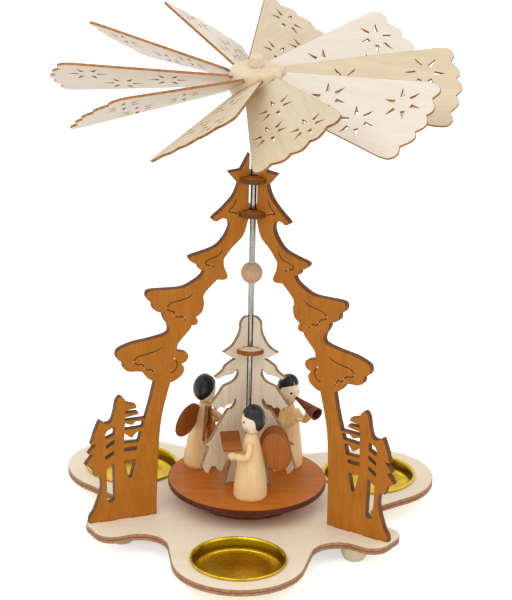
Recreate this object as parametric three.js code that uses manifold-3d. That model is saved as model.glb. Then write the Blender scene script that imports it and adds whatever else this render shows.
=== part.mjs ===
// Rotating candle holder: a plywood stand with three tea-light cups, and a rotor that turns in it.
// Millimetres, +Z up. The origin is on the rotor's axis, at the underside of the base board.
import * as THREE from "three";
import { mergeVertices } from "three/addons/utils/BufferGeometryUtils.js";
import Module from "manifold-3d";

const wasm = await Module();
wasm.setup();

// General clearances
const seatGap = 0.2;
const turnedGap = 0.3;
const runningGap = 0.5;

// Base board
const baseThickness = 3.2;
const cupCircle = 64.6;
const lobeRadius = 30.2;
const footLobeReach = 79.2;
const footLobeHalfWidth = 12.3;
const footLobeCorner = 8.5;
const filletReach = 66.5;
const filletRadius = 12.7;
const cupAzimuths = { front: -90, right: 30, left: 150 };
const footAzimuths = { left: 210, right: 330, back: 90 };

// Rest feet
const restFootCircle = 62;
const restFootRadius = 6.5;
const restFootHeight = 8;
const restFootSwing = -4;

// Tea-light cups
const cupRimRadius = 22;
const cupRimBead = 0.6;
const teaLightRadius = 19;
const cupFit = 0.1;
const cupDepth = 5.8;
const cupWall = 0.4;
const cupStepHeight = 0.6;
const cupDraft = 0.5;
const cupFloorRadius = teaLightRadius + cupFit + cupStepHeight + cupWall;
const cupWallRadius = cupFloorRadius + cupDraft;

// Thrust bearing
const thrustRadius = 4;
const thrustPocketDepth = 2;
const thrustStand = 1.8;
const thrustDimple = 1.4;

// Shaft
const shaftRadius = 1.5;
const shaftPoint = 4;

// Arm panels
const armPly = 3;
const armAzimuths = { left: 204.7, right: 329.8 };
const armInnerRadius = 2.8;
const armFootInner = 45;
const armFootOuter = 77.6;
const tenonSpans = [[49, 57], [65, 72]];

// Discs at the neck
const neckDiscRadius = 7.8;
const neckDiscThickness = 2.2;
const neckLapRadius = 5;
const starDiscHeight = 159.1;
const neckDiscHeight = 142.8;

// Blade wheel
const hubRadius = 11.8;
const hubHalfHeight = 7;
const hubCentreHeight = 204.5;
const capRadius = 3.25;
const capHeight = 5;
const capPegLength = 2;
const bladeCount = 10;
const bladePitch = 33;
const bladePly = 1.2;
const bladePhase = -69.8;
// Each blade is glued in a little off its even place, in degrees
const bladeSettings = [-5, 0, -1.4, 3.3, 3.5, 0, -5, 0, 0, 0];
const bladeTongueHalfWidth = 6.2;
const bladeSlotRadius = 8.8;
const bladeRootHalfWidth = 8.6;
const bladeCornerReach = 84.6;
const bladeCornerHalfWidth = 23;
const bladeCornerRadius = 5;
const starInsets = [[45.6, 0.4], [25.4, -7.6], [10, 7.4]];
const starRayInner = 4.3;
const starRayOuter = 9.3;
const starRayHalfWidth = 0.95;

// Ball on the shaft
const ballRadius = 5;
const ballHeight = 113.1;

// Carousel
const carouselRadius = 36.5;
const carouselThickness = 3;
const carouselTop = 11;
const bossRadius = 24.5;
const bossThickness = 7.2;
const bossRecessRadius = 5;
const bossRecessDepth = 2;

// Fir on the carousel
const firPly = 2;
const firAzimuths = [94.5, 214.5, 334.5];
const firRingRadius = 7.7;
const firRingThickness = 2.2;
const firRingHeight = 76.3;
const firLapRadius = 4.6;

// Figures
const robeRadius = 7.7;
const neckRadius = 2.3;
const neckHeight = 31.2;
const headRadius = 4.7;
const headHalfHeight = 6.3;
const wingHeight = 19;
const wingLength = 14;
const wingRoot = 5;
const wingDroop = 7;
const wingPly = 1.2;
const wingCentreHeight = 21.8;
const handRadius = 2.1;
const sleeveRadius = 1.6;
const leanAzimuth = 2.5;
const figures = [
  { name: "reader", radius: 19.9, azimuth: -82.7, facing: 192.5, lean: 0, wingRise: 1.5, holds: "book",
    wings: [{ root: 3, heading: 344 }, { root: 43, heading: 21 }] },
  { name: "fiddler", radius: 26.8, azimuth: 148.5, facing: 42.5, lean: 3.4, wingRise: 3.5, holds: "fiddle",
    wings: [{ root: 226.5, heading: 240, droop: 70 }, { root: 281, heading: 272, droop: 70 }] },
  { name: "hornist", radius: 24, azimuth: 44.3, facing: 310.5, lean: 1.4, wingRise: 0, holds: "horn",
    wings: [{ root: 118, heading: 98.5 }, { root: 143, heading: 158.5 }] },
];

// Colours and finishes
const finishes = {
  palePly: { color: 0xe9dcc6, roughness: 0.6 },
  bladePly: { color: 0xefe6da, roughness: 0.6 },
  firPly: { color: 0xcfbc9e, roughness: 0.6 },
  stainedPly: { color: 0xb06a20, roughness: 0.5 },
  stainedWood: { color: 0xa85a20, roughness: 0.45 },
  turnedWood: { color: 0xe8c890, roughness: 0.45 },
  faceWood: { color: 0xf0d3ae, roughness: 0.45 },
  goldenWood: { color: 0xc98a3c, roughness: 0.45 },
  ballWood: { color: 0xb08a6a, roughness: 0.5 },
  hairPaint: { color: 0x1c1a1a, roughness: 0.2 },
  brass: { color: 0xd8b020, roughness: 0.25, metalness: 1 },
  steel: { color: 0x9d998e, roughness: 0.25, metalness: 1 },
};

const holder = new THREE.Group();
const baseTop = baseThickness;
const radians = THREE.MathUtils.degToRad;

function above(height) {
  return baseTop + height;
}

function add(name, geometry, finish, parent = holder) {
  const mesh = new THREE.Mesh(geometry, new THREE.MeshStandardMaterial({ metalness: 0, ...finishes[finish] }));
  mesh.name = name;
  parent.add(mesh);
  return mesh;
}

function turnedGroup(azimuth, parent = holder) {
  const group = new THREE.Group();
  group.rotation.z = radians(azimuth);
  parent.add(group);
  return group;
}

// Solids for cutting and joining
function toSolid(geometry) {
  const bare = geometry.clone();
  bare.deleteAttribute("normal");
  bare.deleteAttribute("uv");
  const merged = mergeVertices(bare, 1e-4);
  const points = new Float32Array(merged.attributes.position.array);
  const triangles = new Uint32Array(merged.index.array);
  return new wasm.Manifold(new wasm.Mesh({ numProp: 3, vertProperties: points, triVerts: triangles }));
}

function toGeometry(solid) {
  const mesh = solid.getMesh();
  const geometry = new THREE.BufferGeometry();
  geometry.setAttribute("position", new THREE.BufferAttribute(new Float32Array(mesh.vertProperties), 3));
  geometry.setIndex(new THREE.BufferAttribute(new Uint32Array(mesh.triVerts), 1));
  geometry.computeVertexNormals();
  return geometry;
}

function cut(geometry, tools) {
  let solid = toSolid(geometry);
  for (const tool of tools) {
    solid = solid.subtract(toSolid(tool));
  }
  return toGeometry(solid);
}

function join(geometries) {
  let solid = toSolid(geometries[0]);
  for (const other of geometries.slice(1)) {
    solid = solid.add(toSolid(other));
  }
  return toGeometry(solid);
}

// Plates, discs and turned shapes
function plate(shape, thickness) {
  return new THREE.ExtrudeGeometry(shape, { depth: thickness, bevelEnabled: false, curveSegments: 6 });
}

// A plate drawn in radius and height stands upright, centred on its own thickness.
function uprightPlate(shape, thickness) {
  return plate(shape, thickness).translate(0, 0, -thickness / 2).rotateX(Math.PI / 2);
}

function disc(radius, low, high, segments = 36) {
  const body = new THREE.CylinderGeometry(radius, radius, high - low, segments);
  return body.rotateX(Math.PI / 2).translate(0, 0, (low + high) / 2);
}

function turned(profile, segments = 28) {
  const points = profile.map(([radius, height]) => new THREE.Vector2(radius, height));
  return new THREE.LatheGeometry(points, segments).rotateX(Math.PI / 2);
}

function block(lowX, highX, halfWidth, lowZ, highZ) {
  const body = new THREE.BoxGeometry(highX - lowX, 2 * halfWidth, highZ - lowZ);
  return body.translate((lowX + highX) / 2, 0, (lowZ + highZ) / 2);
}

function ellipsoid(radiusX, radiusY, radiusZ, around = 14, rings = 8) {
  const body = new THREE.SphereGeometry(1, around, rings).rotateX(Math.PI / 2);
  return body.scale(radiusX, radiusY, radiusZ);
}

// An outline is a list of runs: a smooth run is a spline through its points, a sharp run has corners.
function outline(runs) {
  const points = [];
  for (const run of runs) {
    const knots = (run.smooth ?? run.sharp).map(([x, y]) => new THREE.Vector2(x, y));
    const steps = 2 * (knots.length - 1);
    points.push(...(run.smooth ? new THREE.SplineCurve(knots).getPoints(steps) : knots));
  }
  return new THREE.Shape(points);
}

function hole(corners) {
  return new THREE.Path(corners.map(([x, y]) => new THREE.Vector2(x, y)));
}

// Base board: each sector has a cup lobe, a straight flank, a fillet and half of a foot lobe.
function baseOutline() {
  const shape = new THREE.Shape();
  const lobe = new THREE.Vector2(cupCircle * Math.cos(Math.PI / 3), cupCircle * Math.sin(Math.PI / 3));
  const fillet = new THREE.Vector2(filletReach, footLobeHalfWidth + filletRadius);
  const between = fillet.clone().sub(lobe);
  const heading = Math.atan2(between.y, between.x);
  const swing = Math.acos((lobeRadius + filletRadius) / between.length());
  const arc = (centre, radius, start, end, clockwise, turn) => {
    const x = centre.x * Math.cos(turn) - centre.y * Math.sin(turn);
    const y = centre.x * Math.sin(turn) + centre.y * Math.cos(turn);
    shape.absarc(x, y, radius, start + turn, end + turn, clockwise);
  };
  const corner = new THREE.Vector2(footLobeReach - footLobeCorner, footLobeHalfWidth - footLobeCorner);
  for (const azimuth of Object.values(footAzimuths).sort((a, b) => a - b)) {
    const turn = radians(azimuth);
    const mirroredFillet = new THREE.Vector2(fillet.x, -fillet.y);
    const mirroredCorner = new THREE.Vector2(corner.x, -corner.y);
    arc(mirroredFillet, filletRadius, Math.PI - heading - swing, Math.PI / 2, true, turn);
    arc(mirroredCorner, footLobeCorner, -Math.PI / 2, 0, false, turn);
    arc(corner, footLobeCorner, 0, Math.PI / 2, false, turn);
    arc(fillet, filletRadius, -Math.PI / 2, heading + swing - Math.PI, true, turn);
    const lobeStart = heading + swing;
    const lobeEnd = 2 * Math.PI / 3 - lobeStart;
    arc(lobe, lobeRadius, lobeStart, lobeEnd, false, turn);
  }
  return shape;
}

function makeBase() {
  const holeRadius = cupWallRadius + runningGap;
  const tools = [];
  for (const azimuth of Object.values(cupAzimuths)) {
    const cutter = disc(holeRadius, -1, baseThickness + 1, 40).translate(cupCircle, 0, 0);
    tools.push(cutter.rotateZ(radians(azimuth)));
  }
  for (const azimuth of Object.values(armAzimuths)) {
    for (const [start, end] of tenonSpans) {
      const slot = block(start - seatGap, end + seatGap, armPly / 2 + seatGap, -1, baseThickness + 1);
      tools.push(slot.rotateZ(radians(azimuth)));
    }
  }
  const pocketFloor = baseThickness - thrustPocketDepth;
  tools.push(disc(thrustRadius + seatGap, pocketFloor, baseThickness + 1, 24));
  add("base_board", cut(plate(baseOutline(), baseThickness), tools), "palePly");
}

function makeRestFeet() {
  for (const [side, azimuth] of Object.entries(footAzimuths)) {
    const profile = [[0, -restFootHeight]];
    for (let step = 0; step <= 4; step += 1) {
      const angle = (step / 4) * (Math.PI / 2);
      const radius = restFootRadius * (0.55 + 0.45 * Math.sin(angle));
      profile.push([radius, -restFootHeight + (restFootHeight - seatGap / 2) * (1 - Math.cos(angle))]);
    }
    profile.push([0, -seatGap / 2]);
    const group = turnedGroup(azimuth + restFootSwing);
    add(`rest_foot_${side}`, turned(profile, 16).translate(restFootCircle, 0, 0), "turnedWood", group);
  }
}

function makeCups() {
  const rimTop = baseTop + seatGap + 2 * cupRimBead;
  const floorTop = rimTop - cupDepth;
  const beadCentre = rimTop - cupRimBead;
  const beadRadius = cupRimRadius - cupRimBead;
  const profile = [
    [0, floorTop],
    [cupFloorRadius - cupWall - cupStepHeight, floorTop],
    [cupFloorRadius - cupWall, floorTop + cupStepHeight],
    [cupWallRadius - cupWall, beadCentre],
    [beadRadius - cupRimBead * 0.5, rimTop],
    [beadRadius + cupRimBead * 0.7, rimTop - cupRimBead * 0.4],
    [cupRimRadius, beadCentre],
    [beadRadius + cupRimBead * 0.5, rimTop - 1.9 * cupRimBead],
    [cupWallRadius, rimTop - 2 * cupRimBead],
    [cupFloorRadius, floorTop + cupStepHeight - cupWall],
    [cupFloorRadius - cupStepHeight, floorTop - cupWall],
    [0, floorTop - cupWall],
  ];
  for (const [side, azimuth] of Object.entries(cupAzimuths)) {
    const group = turnedGroup(azimuth);
    add(`tealight_cup_${side}`, turned(profile.toReversed(), 32).translate(cupCircle, 0, 0), "brass", group);
  }
}

function makeThrustCup() {
  const low = baseTop - thrustPocketDepth + seatGap;
  const high = baseTop + thrustStand;
  const profile = [[0, low], [thrustRadius, low], [thrustRadius, high - 0.6], [thrustRadius - 0.6, high]];
  profile.push([thrustDimple, high], [0, high - thrustDimple]);
  add("thrust_cup", turned(profile, 24), "brass");
}

// Arm panel outline in radius and height above the board.
const starEdge = [[armInnerRadius, 171], [6.9, 163.7], [12.9, 163.3], [7.9, 157.1]];
const firstTier = [[7.9, 157.1], [10.1, 151.7], [14.8, 146.6], [19.9, 142.4], [20, 141.2], [18, 140.3]];
const firstSkirt = [[18, 140.3], [15.4, 141.5], [13.4, 140.9], [12.1, 139.3]];
const secondTier = [
  [12.1, 139.3], [12.1, 136.5], [14.7, 131.6], [19.3, 127.8], [30, 125.2], [31, 124.2], [30.2, 122.6], [26.6, 120.4],
];
const secondSkirt = [[26.6, 120.4], [26.2, 118.6], [23.8, 117.2]];
const thirdTier = [
  [23.8, 117.2], [25.2, 114.8], [29, 112.4], [35, 110.4], [48.8, 111], [51.3, 109.4], [50.8, 106.9], [48.3, 104.6],
];
const thirdSkirt = [[48.3, 104.6], [48, 102], [45.7, 100.2], [43.2, 99.2]];
const fourthTier = [
  [43.2, 99.2], [42.8, 96.4], [40.6, 92.4], [41.4, 89], [49.2, 87.4], [57.8, 86.4], [64.2, 84.2], [65.4, 81.4],
  [64.4, 79.2], [62, 77.4],
];
const fourthSkirt = [[62, 77.4], [61.6, 74.6], [59.2, 72.8], [55.4, 72.4], [52.6, 71.8]];
const fourthSkirtIn = [[52.6, 71.8], [50, 68.2], [46.8, 66.2]];
const trunkOuter = [[46.8, 66.2], [48.8, 57.2], [51.1, 48.8]];
const footCombs = [
  [61, 48.9], [61, 50.4], [54.4, 51.2], [54.6, 52.4], [60.6, 52.6], [60.4, 53.8], [55.4, 54.4], [55.6, 56],
];
const tallTree = [[60.2, 57.6], [61.6, 60.2], [63.4, 61], [65.2, 58.8], [66.2, 53.4], [67.6, 49.4], [70.2, 48.6]];
const smallTree = [[73, 50.6], [74, 48.4], [75.6, 44.4], [76.2, 42]];
const smallTreeTips = [
  [77.2, 39.2], [74.9, 38.9], [76.4, 37.2], [78.4, 34.8], [76.2, 33.8], [79.8, 29.4], [76, 27.2], [75.2, 23.2],
  [72.6, 23.4],
];
const smallTrunk = [[72.1, 21.4], [72.1, 15.5], [75, 6.6], [77.2, 3], [armFootOuter, 0]];
const trunkInner = [[armFootInner, 0], [44.9, 17.1], [44.4, 33.1], [43.7, 43.5], [42.4, 52], [39.2, 64.8]];
const fourthInner = [[39.2, 64.8], [36.8, 65.4], [33.5, 67.8], [32.5, 70.8], [33.8, 73.2]];
const fourthInnerLobe = [[33.8, 73.2], [31.4, 74.4], [30.6, 76.8], [31.8, 78.6], [35.8, 79.8]];
const thirdInner = [[35.8, 79.8], [35.6, 83.4], [30.4, 89.2], [29.2, 91.4]];
const thirdInnerLobe = [[29.2, 91.4], [26.9, 91.6], [26.3, 93.4], [27.1, 95.2]];
const secondInner = [[27.1, 95.2], [24.2, 97.6], [23.4, 101.6], [23.4, 106], [17.3, 112.2]];
const secondInnerLobe = [[17.3, 112.2], [13.4, 111.8], [12.3, 113.6], [14, 118.2], [14.3, 121.8]];
const firstInner = [[14.3, 121.8], [10.4, 126.8], [5.2, 132], [armInnerRadius, 139.6]];

// Gaps between the trunk and the tall tree, and between the two small trees.
const trunkGaps = [
  [[60.9, 44.4], [60.9, 47.6], [57.4, 46.2], [55.6, 47.8], [51.6, 47.6], [52.4, 44.6]],
  [[61.2, 37.8], [61.1, 42.6], [57.6, 39.8], [55, 42.6], [53, 42.6], [54.2, 37.6]],
  [[61.3, 33.7], [61.2, 35.5], [54.8, 35.4], [55.2, 33.7]],
  [[61.1, 29], [55.5, 29], [57.5, 20.2], [58.7, 20.2]],
];
const treeGaps = [
  [[69.9, 41], [70.4, 43.4], [69.1, 45.2], [65.9, 46.6], [65.9, 42.6]],
  [[69.9, 36.2], [69.9, 37.8], [65.9, 40.4], [65.9, 38.4]],
  [[70.2, 30.8], [70.2, 32.4], [66, 35], [66, 33]],
  [[69.1, 10.6], [69.6, 26], [66, 28.4], [65.4, 10.4], [66.4, 9.2], [68.2, 9.2]],
];
const pinHoles = [[56.8, 77.3], [51.5, 73.9], [47.4, 70.6], [37.3, 76.3], [41.5, 101.6], [37.5, 97.7], [33.4, 95.4]];
const pinHoleRadius = 0.55;

function armOutline() {
  const tenonDepth = baseThickness - seatGap;
  const foot = [];
  for (const [start, end] of tenonSpans.toReversed()) {
    foot.push([end, 0], [end, -tenonDepth], [start, -tenonDepth], [start, 0]);
  }
  const shape = outline([
    { sharp: starEdge },
    { smooth: firstTier },
    { smooth: firstSkirt },
    { smooth: secondTier },
    { smooth: secondSkirt },
    { smooth: thirdTier },
    { smooth: thirdSkirt },
    { smooth: fourthTier },
    { smooth: fourthSkirt },
    { smooth: fourthSkirtIn },
    { smooth: trunkOuter },
    { sharp: footCombs },
    { smooth: tallTree },
    { smooth: smallTree },
    { sharp: smallTreeTips },
    { smooth: smallTrunk },
    { sharp: foot },
    { smooth: trunkInner },
    { smooth: fourthInner },
    { smooth: fourthInnerLobe },
    { smooth: thirdInner },
    { smooth: thirdInnerLobe },
    { smooth: secondInner },
    { smooth: secondInnerLobe },
    { smooth: firstInner },
  ]);
  shape.holes.push(...[...trunkGaps, ...treeGaps].map(hole));
  for (const [radius, height] of pinHoles) {
    const pin = new THREE.Path();
    pin.absarc(radius, height, pinHoleRadius, 0, 2 * Math.PI, false);
    shape.holes.push(new THREE.Path(pin.getPoints(3).slice(0, -1)));
  }
  return shape;
}

function makeArms() {
  const notchHalf = neckDiscThickness / 2 + seatGap;
  const notches = [starDiscHeight, neckDiscHeight].map((height) =>
    block(0, neckLapRadius, armPly, height - notchHalf, height + notchHalf));
  const panel = cut(uprightPlate(armOutline(), armPly), notches).translate(0, 0, baseTop + seatGap / 2);
  for (const [side, azimuth] of Object.entries(armAzimuths)) {
    add(`arm_panel_${side}`, panel.clone(), "stainedPly", turnedGroup(azimuth));
  }
}

function makeNeckDiscs() {
  for (const [name, height] of Object.entries({ star_disc: starDiscHeight, neck_disc: neckDiscHeight })) {
    const low = above(height) + seatGap / 2 - neckDiscThickness / 2;
    const high = low + neckDiscThickness;
    const tools = [disc(shaftRadius + runningGap, low - 1, high + 1, 20)];
    for (const azimuth of Object.values(armAzimuths)) {
      const slot = block(neckLapRadius - seatGap, neckDiscRadius + 1, armPly / 2 + seatGap, low - 1, high + 1);
      tools.push(slot.rotateZ(radians(azimuth)));
    }
    add(name, cut(disc(neckDiscRadius, low, high, 32), tools), "stainedPly");
  }
}

// Rotor
function makeShaft() {
  const tip = baseTop + thrustStand - thrustDimple + turnedGap;
  const high = above(hubCentreHeight) + hubHalfHeight - capPegLength - seatGap;
  const profile = [[0, tip], [shaftRadius, tip + shaftPoint], [shaftRadius, high], [0, high]];
  add("shaft", turned(profile, 16), "steel");
}

function bladeFrame(index) {
  const group = turnedGroup(bladePhase + (bladeSettings[index] ?? 0) + (index * 360) / bladeCount);
  const tilt = new THREE.Group();
  tilt.position.z = above(hubCentreHeight);
  tilt.rotation.x = radians(bladePitch);
  group.add(tilt);
  return tilt;
}

function starRays(centreX, centreY) {
  const rays = [];
  for (let index = 0; index < 6; index += 1) {
    const angle = radians(index * 60);
    const along = [Math.cos(angle), Math.sin(angle)];
    const at = (reach, side) => [
      centreX + reach * along[0] - side * along[1],
      centreY + reach * along[1] + side * along[0],
    ];
    rays.push(hole([at(starRayInner, -starRayHalfWidth), at(starRayOuter, 0), at(starRayInner, starRayHalfWidth)]));
  }
  return rays;
}

// Blade outline: tongue, straight flanks, rounded corners and three middle scallops.
function bladeShape() {
  const slope = (bladeCornerHalfWidth - bladeRootHalfWidth) / (bladeCornerReach - hubRadius);
  const shoulder = hubRadius + seatGap;
  const tongueEnd = bladeSlotRadius + seatGap;
  const flankEnd = bladeCornerReach - bladeCornerRadius;
  const flankHalf = bladeRootHalfWidth + slope * (flankEnd - hubRadius);
  const notchOuter = [bladeCornerReach + 1.6, bladeCornerHalfWidth * 0.62];
  const notchInner = [bladeCornerReach + 4, bladeCornerHalfWidth * 0.21];
  const lobe = (from, to, bulge) => {
    const middle = [(from[0] + to[0]) / 2 + bulge, (from[1] + to[1]) / 2];
    return { smooth: [from, [(from[0] * 3 + middle[0]) / 4 + bulge * 0.45, (from[1] * 3 + to[1]) / 4], middle,
      [(to[0] * 3 + middle[0]) / 4 + bulge * 0.45, (to[1] * 3 + from[1]) / 4], to] };
  };
  const flip = ([x, y]) => [x, -y];
  const corner = [
    [flankEnd, flankHalf],
    [bladeCornerReach + 0.2, bladeCornerHalfWidth - 1.2],
    [bladeCornerReach + 3, bladeCornerHalfWidth - bladeCornerRadius * 0.9],
    notchOuter,
  ];
  const shape = outline([
    { sharp: [[tongueEnd, -bladeTongueHalfWidth], [shoulder, -bladeTongueHalfWidth], [shoulder, -bladeRootHalfWidth]] },
    { smooth: corner.map(flip) },
    lobe(flip(notchOuter), flip(notchInner), 2.6),
    lobe(flip(notchInner), notchInner, 2.9),
    lobe(notchInner, notchOuter, 2.6),
    { smooth: corner.toReversed() },
    { sharp: [[shoulder, bladeRootHalfWidth], [shoulder, bladeTongueHalfWidth], [tongueEnd, bladeTongueHalfWidth]] },
  ]);
  for (const [inset, side] of starInsets) {
    shape.holes.push(...starRays(bladeCornerReach - inset, side));
  }
  return shape;
}

function makeWheel() {
  const low = above(hubCentreHeight) - hubHalfHeight;
  const high = above(hubCentreHeight) + hubHalfHeight;
  const bore = shaftRadius + seatGap;
  const profile = [
    [bore, low], [hubRadius - 1.6, low], [hubRadius, low + 1.6], [hubRadius, high - 1.6], [hubRadius - 1.6, high],
    [bore, high], [bore, low],
  ];
  const tools = [];
  const blade = plate(bladeShape(), bladePly).translate(0, 0, -bladePly / 2);
  for (let index = 0; index < bladeCount; index += 1) {
    const frame = bladeFrame(index);
    const name = `blade_${String(index + 1).padStart(2, "0")}`;
    add(name, blade.clone(), "bladePly", frame);
    frame.updateWorldMatrix(true, false);
    const halfSlot = bladePly / 2 + turnedGap;
    const halfTongue = bladeTongueHalfWidth + turnedGap;
    const slot = block(bladeSlotRadius, hubRadius + 4, halfTongue, -halfSlot, halfSlot);
    tools.push(slot.applyMatrix4(frame.matrixWorld));
  }
  add("wheel_hub", cut(turned(profile, 40), tools), "turnedWood");
  const capLow = high + seatGap;
  const capProfile = [
    [0, high - capPegLength], [shaftRadius, high - capPegLength], [shaftRadius, capLow], [capRadius, capLow],
    [capRadius, capLow + capHeight - 0.8], [capRadius - 0.8, capLow + capHeight], [0, capLow + capHeight],
  ];
  add("hub_cap", turned(capProfile, 20), "turnedWood");
}

function makeBall() {
  const bore = shaftRadius + seatGap;
  const profile = [];
  const start = Math.asin(bore / ballRadius);
  for (let step = 0; step <= 8; step += 1) {
    const angle = start + (step / 8) * (Math.PI - 2 * start);
    profile.push([ballRadius * Math.sin(angle), above(ballHeight) - ballRadius * Math.cos(angle)]);
  }
  profile.push([...profile[0]]);
  add("shaft_ball", turned(profile, 20), "ballWood");
}

function makeCarousel() {
  const bore = shaftRadius + seatGap;
  const high = above(carouselTop);
  const low = high - carouselThickness;
  const bossHigh = low - seatGap;
  const bossLow = bossHigh - bossThickness;
  const rim = (radius, bottom, top, bevel) => [[radius - bevel, bottom], [radius, bottom + bevel], [radius, top]];
  const recessTop = bossLow + bossRecessDepth;
  const discProfile = [
    [bore, low], ...rim(carouselRadius, low, high, 0.6), [bore, high], [bore, low],
  ];
  const bossProfile = [
    [bore, recessTop], [bossRecessRadius, recessTop], [bossRecessRadius, bossLow],
    ...rim(bossRadius, bossLow, bossHigh, 0.8), [bore, bossHigh], [bore, recessTop],
  ];
  add("carousel_disc", turned(discProfile, 48), "stainedPly");
  add("carousel_boss", turned(bossProfile, 36), "stainedWood");
}

// Half fir in radius and height above the board
const firInner = shaftRadius + turnedGap;
const firFoot = carouselTop + seatGap;
const firTop = [[firInner, 92.4], [3.9, 91.9], [5.5, 90], [5.8, 86.6], [6.7, 83.8], [9.8, 79.4], [14.7, 77]];
const firFirstUnder = [[14.7, 77], [11.4, 74.6], [8.2, 72.6]];
const firSecond = [[8.2, 72.6], [10.2, 71.8], [13.4, 70.2], [14.9, 67.9], [18.8, 65.7]];
const firSecondUnder = [[18.8, 65.7], [17.4, 64.6], [13.6, 65.4], [9.4, 65.4], [7.2, 67.4]];
const firThird = [[7.2, 67.4], [6.5, 64.6], [9, 61.6], [14, 60.2], [16.6, 57], [21.4, 52]];
const firThirdFringe = [[21.4, 52], [18.6, 50.6], [17.8, 49], [15.6, 50.4], [13.6, 49.2], [12.2, 50.6], [9.6, 50.4]];
const firFourthCrook = [[9.6, 50.4], [7.8, 53], [7.6, 50.6], [9.4, 48.4], [11.4, 48.2]];
const firFourth = [[11.4, 48.2], [13.2, 46], [16.6, 41], [20.6, 34.8], [23.9, 33.4]];
const firFourthFringe = [[23.9, 33.4], [21.6, 31.6], [23, 27.4], [25, 22.4], [23.2, 19], [21.6, 18], [20, 21.2]];
const firLowFringe = [[18, 21], [16.4, 18.4], [14.2, 17.6], [12.8, 21.2]];
const firArch = [[12.8, 21.2], [11, 22.6], [9.6, 20.8], [10.8, 16.4], [12.2, firFoot]];

function makeFir() {
  const shape = outline([
    { smooth: firTop },
    { smooth: firFirstUnder },
    { smooth: firSecond },
    { smooth: firSecondUnder },
    { smooth: firThird },
    { sharp: firThirdFringe },
    { smooth: firFourthCrook },
    { smooth: firFourth },
    { sharp: firFourthFringe },
    { sharp: firLowFringe },
    { smooth: firArch },
    { sharp: [[firInner, firFoot]] },
  ]);
  const half = firRingThickness / 2;
  const notch = block(0, firLapRadius, firPly, firRingHeight - half - seatGap, firRingHeight + half + seatGap);
  const panel = cut(uprightPlate(shape, firPly), [notch]).translate(0, 0, baseTop);
  firAzimuths.forEach((azimuth, index) => {
    add(`fir_panel_${index + 1}`, panel.clone(), "firPly", turnedGroup(azimuth));
  });
  const low = above(firRingHeight) - half;
  const high = above(firRingHeight) + half;
  const tools = [disc(firInner, low - 1, high + 1, 20)];
  for (const azimuth of firAzimuths) {
    const slot = block(firLapRadius - seatGap, firRingRadius + 1, firPly / 2 + seatGap, low - 1, high + 1);
    tools.push(slot.rotateZ(radians(azimuth)));
  }
  add("fir_ring", cut(disc(firRingRadius, low, high, 32), tools), "firPly");
}

// Figures face +X in their own frame and stand on z = 0.
const robeShape = [[1, 0], [1, 1.6], [0.92, 9.6], [0.78, 17.4], [0.56, 25.4], [0.4, 29]];
const robeSkirt = 2;

function robeProfile(grow) {
  const low = -robeSkirt - grow;
  const profile = [[0, low], [robeRadius + grow, low]];
  for (const [share, height] of robeShape) {
    profile.push([robeRadius * share + grow, height]);
  }
  profile.push([neckRadius + grow, neckHeight + grow], [0, neckHeight + grow]);
  return profile;
}

function sleeve(points) {
  const curve = new THREE.CatmullRomCurve3(points.map((point) => new THREE.Vector3(...point)));
  const section = new THREE.Shape();
  section.absarc(0, 0, sleeveRadius, 0, 2 * Math.PI, false);
  const arm = new THREE.ExtrudeGeometry(section, { steps: 5, extrudePath: curve, curveSegments: 4 });
  const hand = ellipsoid(handRadius, handRadius, handRadius, 10, 7).translate(...points.at(-1));
  return join([arm, hand]);
}

// Two leaves of an open book, both sloping down to the reader's left side
const bookLeaf = { length: 8.8, width: 6.2, thickness: 1.1 };

function bookGeometry() {
  const leaf = (side, slope) => {
    const slab = new THREE.BoxGeometry(bookLeaf.length, bookLeaf.width, bookLeaf.thickness);
    return slab.translate(0, side * bookLeaf.width * 0.48, 0).rotateX(radians(slope));
  };
  return join([leaf(-1, -30), leaf(1, -16)]).translate(9.4, 0, 27.1);
}

// A small fiddle held upright at the right side
const fiddleBody = { lower: 3.3, upper: 2.6, spacing: 5.2, thickness: 1.8 };
const fiddleNeck = { length: 8, width: 1.3, thickness: 1 };

function fiddleGeometry() {
  const body = new THREE.Shape();
  body.absarc(0, 0, fiddleBody.lower, radians(38), radians(322), false);
  body.absarc(fiddleBody.spacing, 0, fiddleBody.upper, radians(-130), radians(130), false);
  const slab = plate(body, fiddleBody.thickness).translate(-fiddleBody.spacing / 2, 0, -fiddleBody.thickness / 2);
  const neckStart = fiddleBody.spacing / 2 + fiddleBody.upper - 1;
  const neck = new THREE.BoxGeometry(fiddleNeck.length, fiddleNeck.width, fiddleNeck.thickness);
  const joined = join([slab, neck.translate(neckStart + fiddleNeck.length / 2, 0, 0)]);
  return joined.rotateY(radians(-90)).rotateZ(radians(-70)).rotateX(radians(-12)).translate(-0.8, -7.6, 19.2);
}

// A straight horn, its bell turned slightly down
const hornLength = 15.5;
const hornBell = 3.2;
const hornMouth = 0.9;
const hornMiddle = 1.9;
const hornThroat = 2.7;

function hornGeometry() {
  const profile = [
    [0, 0], [hornMouth, 0], [hornMiddle, hornLength * 0.46], [hornThroat, hornLength * 0.8],
    [hornBell, hornLength], [hornBell - 0.8, hornLength], [hornBell * 0.44, hornLength * 0.78],
    [0, hornLength * 0.66],
  ];
  return turned(profile, 16).rotateY(radians(99)).translate(headRadius + 2 * turnedGap, 0, 35.4);
}

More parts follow.
